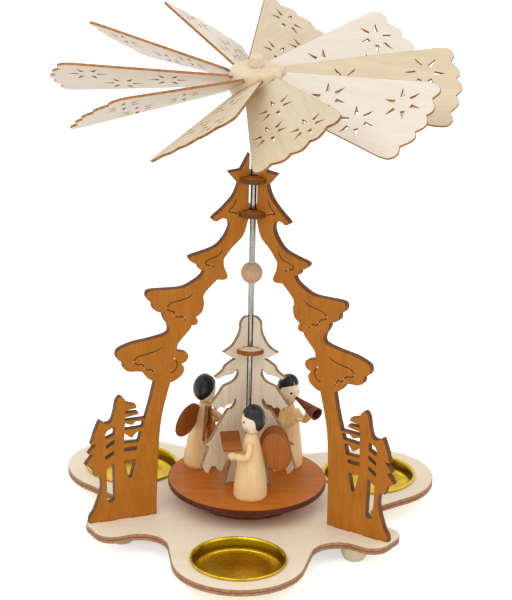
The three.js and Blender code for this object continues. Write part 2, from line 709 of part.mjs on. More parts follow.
const held = {
  book: {
    geometry: bookGeometry,
    finish: "stainedWood",
    arms: [
      [[1, -3.4, 27.4], [3.4, -6.6, 23], [9.6, -4.6, 25.4]],
      [[1, 3.4, 27.4], [3, 6.4, 22], [9.4, 5, 22.6]],
    ],
  },
  fiddle: {
    geometry: fiddleGeometry,
    finish: "goldenWood",
    arms: [
      [[1.2, -3.2, 27.6], [4.6, -6.4, 24.6], [5.4, -8, 19.6]],
      [[1, 3.4, 27.4], [4.2, 6, 22.6], [8.6, 1, 20.6]],
    ],
  },
  horn: {
    geometry: hornGeometry,
    finish: "stainedWood",
    arms: [
      [[1, -3.4, 27.4], [4, -6.2, 22.4], [11.6, -3.4, 28.6]],
      [[1, 3.4, 27.4], [4, 6.2, 22.4], [11.6, 3, 28.6]],
    ],
  },
};

// Wing outline: an oval whose top leans in to the back and whose foot swings out
function wingGeometry({ root, heading, rise, droop }) {
  const oval = new THREE.Shape();
  oval.absellipse(0, 0, wingLength / 2, wingHeight / 2, 0, 2 * Math.PI, false, radians(droop));
  const slab = uprightPlate(oval, wingPly).translate(wingLength / 2, 0, wingCentreHeight + rise);
  slab.rotateZ(radians(heading));
  return slab.translate(wingRoot * Math.cos(radians(root)), wingRoot * Math.sin(radians(root)), 0);
}

function makeFigure({ name, radius, azimuth, facing, lean, wingRise, wings, holds }) {
  const group = new THREE.Group();
  const height = above(carouselTop) + seatGap;
  group.position.set(radius * Math.cos(radians(azimuth)), radius * Math.sin(radians(azimuth)), height);
  const towards = radians(leanAzimuth);
  const leanAxis = new THREE.Vector3(-Math.sin(towards), Math.cos(towards), 0);
  group.quaternion.setFromAxisAngle(leanAxis, radians(lean));
  holder.add(group);
  const turnedFigure = turnedGroup(facing, group);

  const reach = 2 * robeRadius;
  const floor = block(-reach, reach, reach, -reach, 0);
  const upright = group.quaternion.clone().invert();
  floor.applyQuaternion(upright).rotateZ(-radians(facing));
  const robeSpace = turned(robeProfile(turnedGap), 20);
  add(`${name}_robe`, cut(turned(robeProfile(0), 20), [floor]), "turnedWood", turnedFigure);

  const headCentre = neckHeight + turnedGap + headHalfHeight - 0.5;
  const skull = ellipsoid(headRadius, headRadius, headHalfHeight).translate(0, 0, headCentre);
  const flatten = disc(headRadius + 1, neckHeight - headHalfHeight, neckHeight + turnedGap, 12);
  add(`${name}_head`, cut(skull, [flatten]), "faceWood", turnedFigure);

  const inner = headRadius + turnedGap;
  const skullSpace = ellipsoid(inner, inner, headHalfHeight + turnedGap).translate(0, 0, headCentre);
  const crown = ellipsoid(headRadius + 0.6, headRadius + 0.7, headHalfHeight + 0.6);
  crown.translate(-1, 0, headCentre + 0.9);
  const face = block(0.6, 3 * headRadius, 3 * headRadius, headCentre - 3 * headRadius, headCentre + 2);
  add(`${name}_hair`, cut(crown, [skullSpace, face]), "hairPaint", turnedFigure);

  const item = held[holds];
  add(`${name}_${holds}`, item.geometry(), item.finish, turnedFigure);
  item.arms.forEach((points, index) => {
    add(`${name}_arm_${index + 1}`, cut(sleeve(points), [robeSpace]), "turnedWood", turnedFigure);
  });
  wings.forEach(({ root, heading, droop = wingDroop }, index) => {
    const wing = wingGeometry({ root: root - facing, heading: heading - facing, rise: wingRise, droop });
    add(`${name}_wing_${index + 1}`, cut(wing, [robeSpace]), "stainedWood", turnedFigure);
  });
}

makeBase();
makeRestFeet();
makeCups();
makeThrustCup();
makeArms();
makeNeckDiscs();
makeShaft();
makeWheel();
makeBall();
makeCarousel();
makeFir();
figures.forEach(makeFigure);

export default holder;
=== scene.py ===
"""Looks of the rotating candle holder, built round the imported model.

Every size is in millimetres in the part's own frame: +Z up along the rotor's axis, with the
origin at the underside of the base board. Points are turned into metres when a mesh is made.
"""

from __future__ import annotations

import logging
import math
from dataclasses import dataclass, field
from enum import Enum
from typing import Callable, NamedTuple

import bpy
import numpy as np
from mathutils import Matrix, Vector
from mathutils.geometry import tessellate_polygon

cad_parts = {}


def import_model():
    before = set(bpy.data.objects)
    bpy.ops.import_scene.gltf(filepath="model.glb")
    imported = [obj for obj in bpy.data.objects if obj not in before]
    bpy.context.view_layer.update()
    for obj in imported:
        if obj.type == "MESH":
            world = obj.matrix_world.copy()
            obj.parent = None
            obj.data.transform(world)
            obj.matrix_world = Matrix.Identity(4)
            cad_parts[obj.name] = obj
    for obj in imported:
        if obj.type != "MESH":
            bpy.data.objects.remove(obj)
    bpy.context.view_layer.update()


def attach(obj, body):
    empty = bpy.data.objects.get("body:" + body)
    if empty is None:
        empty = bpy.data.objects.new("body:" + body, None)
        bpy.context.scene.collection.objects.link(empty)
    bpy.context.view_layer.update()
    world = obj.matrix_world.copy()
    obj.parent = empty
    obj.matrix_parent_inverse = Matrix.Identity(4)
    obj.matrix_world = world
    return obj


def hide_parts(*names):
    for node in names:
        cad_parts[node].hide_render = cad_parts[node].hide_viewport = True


log = logging.getLogger("candle_holder")

MILLIMETRE = 0.001

# Points of an outline nearer than this are one
SAME_POINT = 1e-3
# The most of a side that one rounded corner takes
LARGEST_EASE = 0.45
# The least divisor where an inset loop bends
SHARPEST_BEND = 0.4
# Burn where a blind pocket's wall meets its floor
POCKET_BURN = 0.3
# Gap that keeps two faces apart where pieces touch
SEAT = 0.02

Pairs = tuple[tuple[float, float], ...]
Triple = tuple[float, float, float]
Socket = bpy.types.NodeSocket


class Body(Enum):
    """The two bodies that pieces ride on."""

    STAND = "stand"
    ROTOR = "rotor"


class Axis(Enum):
    """A direction to turn about."""

    X = "X"
    Y = "Y"
    Z = "Z"


class Held(Enum):
    """What a figure holds."""

    BOOK = "book"
    FIDDLE = "fiddle"
    HORN = "horn"


# Placing


def shift(x: float = 0.0, y: float = 0.0, z: float = 0.0) -> np.ndarray:
    """Matrix of a move along x, y and z."""
    return np.array(Matrix.Translation((x, y, z)))


def turn(axis: Axis, degrees: float) -> np.ndarray:
    """Matrix of a right-handed turn about one axis."""
    return np.array(Matrix.Rotation(math.radians(degrees), 4, axis.value))


def tip(direction: Vector, degrees: float) -> np.ndarray:
    """Matrix of a right-handed turn about any direction."""
    return np.array(Matrix.Rotation(math.radians(degrees), 4, direction))


def swung(points: np.ndarray, degrees: float) -> np.ndarray:
    """Points of the plane turned about its origin."""
    return points @ turn(Axis.Z, degrees)[:2, :2].T


def spot(radius: float, degrees: float) -> tuple[float, float]:
    """A place in the plane, by its distance from the origin and its azimuth."""
    return radius * math.cos(math.radians(degrees)), radius * math.sin(math.radians(degrees))


# Curves in the plane and in space


class Run(NamedTuple):
    """A stretch of an outline, smooth or with corners."""

    knots: Pairs
    steps: int

    def points(self) -> np.ndarray:
        """Points along the stretch."""
        knots = np.array(self.knots, float)
        return through(knots, self.steps) if self.steps else knots


def smooth(*knots: tuple[float, float], steps: int = 7) -> Run:
    """A stretch that curves through its knots."""
    return Run(knots, steps)


def sharp(*knots: tuple[float, float]) -> Run:
    """A stretch with a corner at each knot."""
    return Run(knots, 0)


def through(knots: np.ndarray, steps: int) -> np.ndarray:
    """Curve through knots, by a cubic whose slope at a knot is half the step from its neighbours.

    Between knots a and b, with slopes u and v, the point at t is
    a + u t + (3(b - a) - 2u - v) t^2 + (2(a - b) + u + v) t^3.

    Args:
        knots: points in the plane or in space, one a row.
        steps: how many pieces each span is cut into.

    Returns:
        The points of the curve, first and last knots included.
    """
    padded = np.vstack([knots[:1], knots, knots[-1:]])
    slope = (padded[2:] - padded[:-2]) / 2
    start, end = knots[:-1, None], knots[1:, None]
    leave, arrive = slope[:-1, None], slope[1:, None]
    t = np.linspace(0, 1, steps, endpoint=False)[None, :, None]
    cubic = 2 * (start - end) + leave + arrive
    square = 3 * (end - start) - 2 * leave - arrive
    inner = start + leave * t + square * t**2 + cubic * t**3
    return np.vstack([inner.reshape(-1, knots.shape[1]), knots[-1:]])


def arc(
    centre: tuple[float, float], radius: float, start: float, end: float, steps: int
) -> np.ndarray:
    """Points on a circle from one angle to another, in degrees: centre + radius (cos a, sin a)."""
    angle = np.radians(np.linspace(start, end, steps + 1))
    return np.array(centre) + radius * np.stack([np.cos(angle), np.sin(angle)], 1)


def ring(centre: tuple[float, float], radius: float, steps: int) -> np.ndarray:
    """A whole circle with its first point left off the end."""
    return arc(centre, radius, 0, 360, steps)[:-1]


def loop(*stretches: np.ndarray) -> np.ndarray:
    """One closed loop from stretches end to end, with doubled points left out.

    Args:
        stretches: the points of each stretch, one a row.

    Returns:
        The points of the loop, with the first not repeated at the end.
    """
    points = np.vstack(stretches)
    keep = np.linalg.norm(points - np.roll(points, 1, axis=0), axis=1) > SAME_POINT
    return points[keep]


def drawn(runs: tuple[Run, ...]) -> np.ndarray:
    """The closed loop of an outline that is given in runs."""
    return loop(*(run.points() for run in runs))


def eased(corners: np.ndarray, reach: float, steps: int = 4) -> np.ndarray:
    """A profile with each inner corner rounded.

    The corner P between A and B gives way to the curve (1-t)^2 P1 + 2t(1-t) P + t^2 P2, where P1
    and P2 lie on the two sides, at most reach from P and at most 45% of the side away.

    Args:
        corners: profile corners, one a row.
        reach: how far from each corner the rounding starts.
        steps: pieces per corner.

    Returns:
        The rounded profile.
    """
    point = corners[1:-1]
    before, after = corners[:-2] - point, corners[2:] - point
    near = np.linalg.norm(before, axis=1, keepdims=True)
    far = np.linalg.norm(after, axis=1, keepdims=True)
    first = point + before * np.minimum(reach / near, LARGEST_EASE)
    last = point + after * np.minimum(reach / far, LARGEST_EASE)
    t = np.linspace(0, 1, steps + 1)[None, :, None]
    curve = (1 - t) ** 2 * first[:, None] + 2 * t * (1 - t) * point[:, None] + t**2 * last[:, None]
    return np.vstack([corners[:1], curve.reshape(-1, 2), corners[-1:]])


def heading_right(points: np.ndarray) -> bool:
    """Whether a closed loop runs clockwise, by the sign of its area."""
    after = np.roll(points, -1, axis=0)
    return float(np.sum(points[:, 0] * after[:, 1] - after[:, 0] * points[:, 1])) < 0


def inset(points: np.ndarray, distance: float) -> np.ndarray:
    """A loop moved to its left by a distance.

    A corner moves along (m + n) / (1 + m.n), where m and n are the left-hand normals of its two
    sides, and the divisor is held above a least value so that no point shoots away.

    Args:
        points: the loop, one point a row.
        distance: how far it moves.

    Returns:
        The moved loop, with as many points.
    """
    along = np.roll(points, -1, axis=0) - points
    along /= np.linalg.norm(along, axis=1, keepdims=True)
    normal = np.stack([-along[:, 1], along[:, 0]], 1)
    before = np.roll(normal, 1, axis=0)
    bend = np.maximum(1 + np.sum(normal * before, axis=1, keepdims=True), SHARPEST_BEND)
    return points + distance * (normal + before) / bend


# Surfaces


@dataclass
class Surface:
    """Points, faces, and marks of burnt edges and painted shade, of a shape in its own frame."""

    points: np.ndarray
    faces: list[tuple[int, ...]]
    burn_and_shade: np.ndarray

    def moved(self, place: np.ndarray) -> Surface:
        """The same surface after a move, a turn or both."""
        return Surface(self.points @ place[:3, :3].T + place[:3, 3], self.faces, self.burn_and_shade)

    def out(self) -> np.ndarray:
        """Each point's distance from the z axis."""
        return np.hypot(self.points[:, 0], self.points[:, 1])

    def joined(self, *others: Surface) -> Surface:
        """This surface and others as one, each still closed by itself.

        Args:
            others: the surfaces to add, in order.

        Returns:
            The joined surface.
        """
        points, faces, burn_and_shade = [self.points], list(self.faces), [self.burn_and_shade]
        count = len(self.points)
        for other in others:
            points.append(other.points)
            burn_and_shade.append(other.burn_and_shade)
            faces += [tuple(corner + count for corner in face) for face in other.faces]
            count += len(other.points)
        return Surface(np.vstack(points), faces, np.concatenate(burn_and_shade))


def as_faces(corners: np.ndarray) -> list[tuple[int, ...]]:
    """Rows of corner numbers as plain faces."""
    return [tuple(face) for face in corners.tolist()]


def strips(rows: int, columns: int, closed_rows: bool = False) -> np.ndarray:
    """Four-cornered faces of a grid that closes on itself along its columns.

    Args:
        rows: number of rings.
        columns: points in each ring.
        closed_rows: whether the last ring also joins the first.

    Returns:
        Corner numbers, four a row.
    """
    row = np.arange(rows if closed_rows else rows - 1)[:, None]
    column = np.arange(columns)[None, :]
    above_row, beside = (row + 1) % rows, (column + 1) % columns
    corners = [row * columns + column, row * columns + beside]
    corners += [above_row * columns + beside, above_row * columns + column]
    return np.stack([np.broadcast_to(c, (row.size, columns)) for c in corners], -1).reshape(-1, 4)


def fan(first: int, around: int, pole: int, onward: bool) -> list[tuple[int, ...]]:
    """Triangles that close a ring of points on to a pole.

    Args:
        first: number of the ring's first point.
        around: points in the ring.
        pole: number of the pole.
        onward: whether the triangles run the way the ring does.

    Returns:
        The triangles.
    """
    step = np.arange(around)
    beside = (step + 1) % around
    start, end = (step, beside) if onward else (beside, step)
    return as_faces(np.stack([first + start, first + end, step * 0 + pole], 1))


def lathe(profile: np.ndarray, around: int = 72) -> Surface:
    """Turned shape: the point at height z and angle a is (r cos a, r sin a, z).

    A profile that starts and ends on the axis gets a pole at each end. One that doesn't is closed
    from its last point to its first, as for a bored piece.

    Args:
        profile: radius and height, from the bottom outwards and up.
        around: points in each ring.

    Returns:
        The closed surface, with no marks of burnt edges or painted shade.
    """
    solid = profile[0, 0] < 1e-6 and profile[-1, 0] < 1e-6
    rings = profile[1:-1] if solid else profile
    angle = np.arange(around) * 2 * np.pi / around
    radius, height = rings[:, :1], rings[:, 1:]
    grid = np.stack([radius * np.cos(angle), radius * np.sin(angle), height + 0 * angle], -1)
    points = grid.reshape(-1, 3)
    faces = as_faces(strips(len(rings), around, closed_rows=not solid))
    if solid:
        faces += fan(0, around, len(points), onward=False)
        faces += fan((len(rings) - 1) * around, around, len(points) + 1, onward=True)
        points = np.vstack([points, [0, 0, profile[0, 1]], [0, 0, profile[-1, 1]]])
    return Surface(points, faces, np.zeros(len(points)))


def tube(path: np.ndarray, radius: np.ndarray, aside: Vector, around: int = 20) -> Surface:
    """Round bar along a path: path + radius (cos a . n + sin a . b), with n and b square to it.

    Args:
        path: centre points, one a row.
        radius: radius at each point.
        aside: a direction that the path never runs along.
        around: points in each ring.

    Returns:
        The closed surface, with a pole at each end.
    """
    along = np.gradient(path, axis=0)
    along /= np.linalg.norm(along, axis=1, keepdims=True)
    normal = np.cross(along, np.array(aside))
    normal /= np.linalg.norm(normal, axis=1, keepdims=True)
    across = np.cross(along, normal)
    angle = (np.arange(around) * 2 * np.pi / around)[None, :, None]
    spokes = np.cos(angle) * normal[:, None] + np.sin(angle) * across[:, None]
    points = (path[:, None] + radius[:, None, None] * spokes).reshape(-1, 3)
    faces = as_faces(strips(len(path), around))
    faces += fan(0, around, len(points), onward=False)
    faces += fan((len(path) - 1) * around, around, len(points) + 1, onward=True)
    points = np.vstack([points, path[:1], path[-1:]])
    return Surface(points, faces, np.zeros(len(points)))


class Step(NamedTuple):
    """One line round a plate's edge: how far in, how high and how burnt."""

    inward: float
    height: float
    burn_and_shade: float


def carved(half: float, *steps: Triple) -> tuple[Step, ...]:
    """A whole edge that is the same above and below the sheet's middle.

    Args:
        half: half of the sheet's thickness.
        steps: for each step of the upper half, how far in, how far below the face, and how burnt.

    Returns:
        The steps from the upper face's margin down to the lower face's margin.
    """
    upper = [Step(inward, half - depth, burn_and_shade) for inward, depth, burn_and_shade in steps]
    return (*upper, *(step._replace(height=-step.height) for step in reversed(upper)))


def sawn_edge(low: float, high: float, halo: float, ease: float = 0.1) -> tuple[Step, ...]:
    """Edge of a plate that was cut with heat: a dark wall and a thin brown line on both faces.

    Args:
        low: height of the lower face.
        high: height of the upper face.
        halo: width of the brown line.
        ease: size of the small chamfer.

    Returns:
        The steps from the upper face's margin down to the lower face's margin.
    """
    upper = (Step(halo, high, 0.0), Step(halo * 0.6, high, 0.55), Step(ease, high, 0.9))
    lower = tuple(step._replace(height=low) for step in reversed(upper))
    return (*upper, Step(0.0, high - ease, 1.0), Step(0.0, low + ease, 1.0), *lower)


def fill(loops: list[np.ndarray], upward: bool) -> np.ndarray:
    """Flat face with holes, in triangles.

    Args:
        loops: the outer loop and the holes.
        upward: whether the face looks up.

    Returns:
        The corner numbers of each triangle, counted through the loops in order.
    """
    flat = np.vstack(loops)
    found = tessellate_polygon([[Vector((x, y, 0)) for x, y in points.tolist()] for points in loops])
    corner = np.array(found, int)
    a, b, c = flat[corner[:, 0]], flat[corner[:, 1]], flat[corner[:, 2]]
    area = (b[:, 0] - a[:, 0]) * (c[:, 1] - a[:, 1]) - (b[:, 1] - a[:, 1]) * (c[:, 0] - a[:, 0])
    wrong = (area < 0) == upward
    corner[wrong] = corner[wrong][:, ::-1]
    return corner


def plate(outer: np.ndarray, holes: list[np.ndarray], edge: tuple[Step, ...],
          pockets: tuple[tuple[np.ndarray, float], ...] = ()) -> Surface:
    """Sheet of wood: an edge profile carried round every loop, with a flat face above and below.

    Each loop is turned so that the wood is on its left. Ring k is the loop moved left by the
    profile's inward step k, at its height. A pocket's wall stops at its floor.

    Args:
        outer: the outline.
        holes: the outlines of holes that go right through.
        edge: profile from the upper face's margin down to the lower face's margin.
        pockets: the outline and floor height of each blind pocket in the upper face.

    Returns:
        The closed surface, with z through the sheet.
    """
    loops = [(outer[::-1] if heading_right(outer) else outer, edge)]
    loops += [(hole if heading_right(hole) else hole[::-1], edge) for hole in holes]
    for pocket, floor in pockets:
        wall = (*(step for step in edge if step.height > floor), Step(0.0, floor, POCKET_BURN))
        loops.append((pocket if heading_right(pocket) else pocket[::-1], wall))
    points, faces, burn_and_shade = [], [], []
    first, last = [], []
    count = 0
    for line, profile in loops:
        rings = [np.column_stack([inset(line, step.inward), np.full(len(line), step.height)])
                 for step in profile]
        points += rings
        burn_and_shade.append(np.repeat([step.burn_and_shade for step in profile], len(line)))
        faces += as_faces(strips(len(profile), len(line))[:, ::-1] + count)
        first.append(np.arange(len(line)) + count)
        last.append(first[-1] + (len(profile) - 1) * len(line))
        count += len(profile) * len(line)
    everything = np.vstack(points)
    through_count = len(loops) - len(pockets)
    flats = [(first, True), (last[:through_count], False)]
    flats += [([floor], True) for floor in last[through_count:]]
    for numbers, upward in flats:
        triangles = fill([everything[index, :2] for index in numbers], upward)
        faces += as_faces(np.concatenate(numbers)[triangles])
    return Surface(everything, faces, np.concatenate(burn_and_shade))


# Finishes


def linear(code: str) -> tuple[float, float, float, float]:
    """A colour as the shader wants it: each of its six-figure code's parts off the screen's curve."""
    parts = [int(code[i : i + 2], 16) / 255 for i in (0, 2, 4)]
    return (*(p / 12.92 if p <= 0.04045 else ((p + 0.055) / 1.055) ** 2.4 for p in parts), 1.0)


def dial(node: bpy.types.Node, **values: object) -> None:
    """Set a node's inputs, each named with a low line in place of every space.

    Args:
        node: the node.
        values: the value of each input.
    """
    for name, value in values.items():
        node.inputs[name.replace("_", " ")].default_value = value


class Nodes:
    """A node tree, with short ways to add and join nodes."""

    def __init__(self, tree: bpy.types.NodeTree) -> None:
        """Keep the tree that the nodes go in."""
        self.tree = tree

    def node(self, kind: str, **settings: object) -> bpy.types.Node:
        """Add a node.

        Args:
            kind: the node's type.
            settings: what is set of the node itself, by name.

        Returns:
            The node.
        """
        made = self.tree.nodes.new(kind)
        for key, value in settings.items():
            setattr(made, key, value)
        return made

    def join(self, start: Socket, end: Socket) -> None:
        """Link one socket to another."""
        self.tree.links.new(start, end)

    def sums(self, operation: str, first: Socket, second: Socket | float = 0.0) -> Socket:
        """One sum on two values.

        Args:
            operation: the sum's name.
            first: the first value.
            second: the second value, a socket or a number.

        Returns:
            The result.
        """
        made = self.node("ShaderNodeMath", operation=operation)
        self.join(first, made.inputs[0])
        if isinstance(second, (int, float)):
            made.inputs[1].default_value = second
        else:
            self.join(second, made.inputs[1])
        return made.outputs["Value"]

    def spread(self, value: Socket, low: float, high: float) -> Socket:
        """A value from 0 to 1 laid out between a low and a high value.

        Args:
            value: the value.
            low: what 0 becomes.
            high: what 1 becomes.

        Returns:
            The result.
        """
        made = self.node("ShaderNodeMapRange")
        dial(made, To_Min=low, To_Max=high)
        self.join(value, made.inputs["Value"])
        return made.outputs["Result"]


class Bench(Nodes):
    """The node tree of a new material, with patterns, mixes and relief."""

    def __init__(self, name: str) -> None:
        """Start a material with a bare shader.

        Args:
            name: the material's name.
        """
        self.material = bpy.data.materials.new(name)
        self.material.use_nodes = True
        super().__init__(self.material.node_tree)
        self.shader = self.tree.nodes["Principled BSDF"]

    def read(self, name: str, vector: bool) -> Socket:
        """The value or vector that the mesh carries under a name."""
        found = self.node("ShaderNodeAttribute", attribute_name=name)
        return found.outputs["Vector" if vector else "Fac"]

    def split(self, vector: Socket) -> bpy.types.NodeOutputs:
        """The parts X, Y and Z of a vector.

        Args:
            vector: the vector.

        Returns:
            The sockets, by their letters.
        """
        apart = self.node("ShaderNodeSeparateXYZ")
        self.join(vector, apart.inputs["Vector"])
        return apart.outputs

    def stretched(self, place: Socket, scale: Triple) -> Socket:
        """A place scaled along its three directions.

        Args:
            place: the place.
            scale: the scale along x, y and z.

        Returns:
            The scaled place.
        """
        mapping = self.node("ShaderNodeMapping")
        dial(mapping, Scale=scale)
        self.join(place, mapping.inputs["Vector"])
        return mapping.outputs["Vector"]

    def noise(self, place: Socket, scale: float, detail: float = 4.0, wander: float = 0.0,
              roughness: float = 0.55) -> Socket:
        """Cloudy pattern from 0 to 1.

        Args:
            place: where in the pattern.
            scale: how fine it is.
            detail: how many finer layers it has.
            wander: how far its lines stray.
            roughness: how strong the finer layers are.

        Returns:
            The pattern's value.
        """
        made = self.node("ShaderNodeTexNoise")
        dial(made, Scale=scale, Detail=detail, Distortion=wander, Roughness=roughness)
        self.join(place, made.inputs["Vector"])
        return made.outputs["Fac"]

    def ramp(self, value: Socket, marks: tuple[float, float]) -> Socket:
        """A value spread from a low and a high mark to 0 and 1, held between them.

        Args:
            value: the value.
            marks: what becomes 0 and what becomes 1.

        Returns:
            The result.
        """
        made = self.node("ShaderNodeMapRange", interpolation_type="SMOOTHSTEP")
        dial(made, From_Min=marks[0], From_Max=marks[1])
        self.join(value, made.inputs["Value"])
        return made.outputs["Result"]

    def mean(self, first: Socket, second: Socket, share: float) -> Socket:
        """Two values together, the first by its share and the second by the rest."""
        rest = self.sums("MULTIPLY", second, 1 - share)
        return self.sums("ADD", self.sums("MULTIPLY", first, share), rest)

    def blend(self, share: Socket, first: object, second: object) -> Socket:
        """Mix two colours.

        Args:
            share: the second colour's share.
            first: a code or a socket.
            second: a code or a socket.

        Returns:
            The mixed colour.
        """
        made = self.node("ShaderNodeMix", data_type="RGBA")
        self.join(share, made.inputs["Factor"])
        for value, socket in ((first, made.inputs[6]), (second, made.inputs[7])):
            if isinstance(value, str):
                socket.default_value = linear(value)
            else:
                self.join(value, socket)
        return made.outputs[2]

    def paint(self, colour: Socket) -> None:
        """Give the shader its colour."""
        self.join(colour, self.shader.inputs["Base Color"])

    def relief(self, height: Socket, strength: float, depth: float) -> None:
        """Raise and sink the surface's shading.

        Args:
            height: height from 0 to 1.
            strength: share of the relief that shows.
            depth: what a height of 1 stands for, in millimetres.
        """
        made = self.node("ShaderNodeBump")
        dial(made, Strength=strength, Distance=depth * MILLIMETRE)
        self.join(height, made.inputs["Height"])
        self.join(made.outputs["Normal"], self.shader.inputs["Normal"])


@dataclass(frozen=True)
class Wood:
    """Wood with fibres along z, a slow figure, pores, and burnt cut edges where the mesh says so."""

    name: str
    light: str
    dark: str
    slot: str
    burnt: str = "7E4F2B"
    scorched: str = "9A6A40"
    pore: str = "8A5A30"
    pore_share: float = 0.35
    pore_grain: Triple = (4.2, 4.2, 0.22)
    pore_marks: tuple[float, float] = (0.60, 0.74)
    pore_depth: float = 0.6
    fibre: Triple = (1.6, 1.6, 0.07)
    fibre_share: float = 0.55
    figure: Triple = (0.09, 0.09, 0.018)
    figure_marks: tuple[float, float] = (0.34, 0.66)
    roughness: float = 0.55
    roughness_swing: tuple[float, float] = (-0.07, 0.1)
    specular: float = 0.2
    coat: float = 0.0
    coat_roughness: float = 0.22
    relief: float = 0.25
    relief_depth: float = 0.12
    rings: float = 0.0
    ring_marks: tuple[float, float] = (0.2, 3.0)
    patch_scale: float = 0.55
    patch_marks: tuple[float, float] = (0.35, 0.65)
    burn_unevenness: float = 0.7
    burn_marks: tuple[float, float] = (0.25, 0.85)
    cross_ply: str = "6E4A30"
    cross_ply_marks: tuple[float, float] = (1.05, 1.4)

    def made(self) -> bpy.types.Material:
        """Build the material.

        Fibres and figure are noise in the piece's own frame, drawn out along the grain. The cut
        edge takes the burnt colour by the mesh's marks, broken up by noise, and a mark above 1 is
        the darker middle ply of a thick board. The same marks also lay the burnt colour as painted
        shade, on the far leaf of the book and inside the horn's bell.

        Returns:
            The material.
        """
        bench = Bench(self.name)
        place = bench.read("grain", vector=True)
        fibre = bench.noise(bench.stretched(place, self.fibre), 1.0, 5.0, 0.35, 0.62)
        figure = bench.noise(bench.stretched(place, self.figure), 1.0, 3.0, 1.6)
        pores = bench.noise(bench.stretched(place, self.pore_grain), 1.0, 2.0)
        mixed = bench.mean(fibre, figure, self.fibre_share)
        colour = bench.blend(bench.ramp(mixed, self.figure_marks), self.light, self.dark)
        if self.rings:
            wave = bench.sums("SINE", bench.sums("MULTIPLY", bench.split(place)["Z"], self.rings))
            colour = bench.blend(bench.ramp(wave, self.ring_marks), colour, self.dark)
        share = bench.sums("MULTIPLY", bench.ramp(pores, self.pore_marks), self.pore_share)
        colour = bench.blend(share, colour, self.pore)
        burn_and_shade = bench.read("burn_and_shade", vector=False)
        uneven = bench.noise(place, self.patch_scale)
        edge = bench.blend(bench.ramp(uneven, self.patch_marks), self.burnt, self.scorched)
        stray = bench.sums("MULTIPLY", bench.sums("SUBTRACT", uneven, 0.5), self.burn_unevenness)
        colour = bench.blend(bench.ramp(bench.sums("ADD", burn_and_shade, stray), self.burn_marks), colour, edge)
        bench.paint(bench.blend(bench.ramp(burn_and_shade, self.cross_ply_marks), colour, self.cross_ply))
        sunk = bench.sums("MULTIPLY", pores, -self.pore_depth)
        bench.relief(bench.sums("ADD", fibre, sunk), self.relief, self.relief_depth)
        low, high = (self.roughness + swing for swing in self.roughness_swing)
        bench.join(bench.spread(fibre, low, high), bench.shader.inputs["Roughness"])
        dial(bench.shader, Specular_IOR_Level=self.specular, Coat_Weight=self.coat,
             Coat_Roughness=self.coat_roughness)
        return bench.material


@dataclass(frozen=True)
class DollFace:
    """Turned face wood with painted eyes, cheeks and a thin mouth, placed on the head's own frame."""

    name: str = "painted face"
    slot: str = "face_wood"
    light: str = "FAE8D0"
    dark: str = "F3D8B6"
    cheek: str = "E89A92"
    paint: str = "2A1A14"
    mouth: str = "B4553F"
    fibre: Triple = (1.8, 1.8, 0.12)
    fibre_marks: tuple[float, float] = (0.3, 0.7)
    eye: Triple = (4.11, 2.28, 0.43)
    eye_marks: tuple[float, float] = (0.7, 0.525)
    cheek_place: Triple = (2.68, 2.97, -3.3)
    cheek_marks: tuple[float, float] = (1.6, 0.2)
    cheek_share: float = 0.9
    mouth_height: float = -4.7
    mouth_bow: float = 0.09
    mouth_share: float = 0.8
    lip_marks: tuple[float, float] = (0.28, 0.1)
    smile_marks: tuple[float, float] = (2.1, 1.7)
    front_marks: tuple[float, float] = (0.4, 0.8)
    relief: float = 0.12
    relief_depth: float = 0.1
    roughness: float = 0.42
    coat: float = 0.25
    coat_roughness: float = 0.25

    def made(self) -> bpy.types.Material:
        """Build the material: a spot is where the distance to its centre, mirrored in y, is small.

        The mouth is the line z = height + bow y^2, thin in z, short in y and in front only.

        Returns:
            The material.
        """
        bench = Bench(self.name)
        place = bench.read("grain", vector=True)
        fibre = bench.noise(bench.stretched(place, self.fibre), 1.0)
        colour = bench.blend(bench.ramp(fibre, self.fibre_marks), self.light, self.dark)
        apart = bench.split(place)
        side = bench.sums("ABSOLUTE", apart["Y"])
        folded = bench.node("ShaderNodeCombineXYZ")
        for socket, letter in ((apart["X"], "X"), (side, "Y"), (apart["Z"], "Z")):
            bench.join(socket, folded.inputs[letter])
        here = folded.outputs["Vector"]
        blush = bench.ramp(self.distance(bench, here, self.cheek_place), self.cheek_marks)
        colour = bench.blend(bench.sums("MULTIPLY", blush, self.cheek_share), colour, self.cheek)
        bow = bench.sums("MULTIPLY", bench.sums("MULTIPLY", side, side), self.mouth_bow)
        above = bench.sums("SUBTRACT", bench.sums("SUBTRACT", apart["Z"], self.mouth_height), bow)
        thin = bench.ramp(bench.sums("ABSOLUTE", above), self.lip_marks)
        lips = bench.sums("MULTIPLY", thin, bench.ramp(side, self.smile_marks))
        lips = bench.sums("MULTIPLY", lips, bench.ramp(apart["X"], self.front_marks))
        colour = bench.blend(bench.sums("MULTIPLY", lips, self.mouth_share), colour, self.mouth)
        pupil = bench.ramp(self.distance(bench, here, self.eye), self.eye_marks)
        bench.paint(bench.blend(pupil, colour, self.paint))
        bench.relief(fibre, self.relief, self.relief_depth)
        dial(bench.shader, Roughness=self.roughness, Coat_Weight=self.coat,
             Coat_Roughness=self.coat_roughness)
        return bench.material

    @staticmethod
    def distance(bench: Bench, place: Socket, centre: Triple) -> Socket:
        """Distance from a spot's centre in the head's own frame.

        Args:
            bench: the material's bench.
            place: the place that is measured.
            centre: the spot's centre.

        Returns:
            The distance.
        """
        made = bench.node("ShaderNodeVectorMath", operation="DISTANCE")
        bench.join(place, made.inputs[0])
        made.inputs[1].default_value = centre
        return made.outputs["Value"]


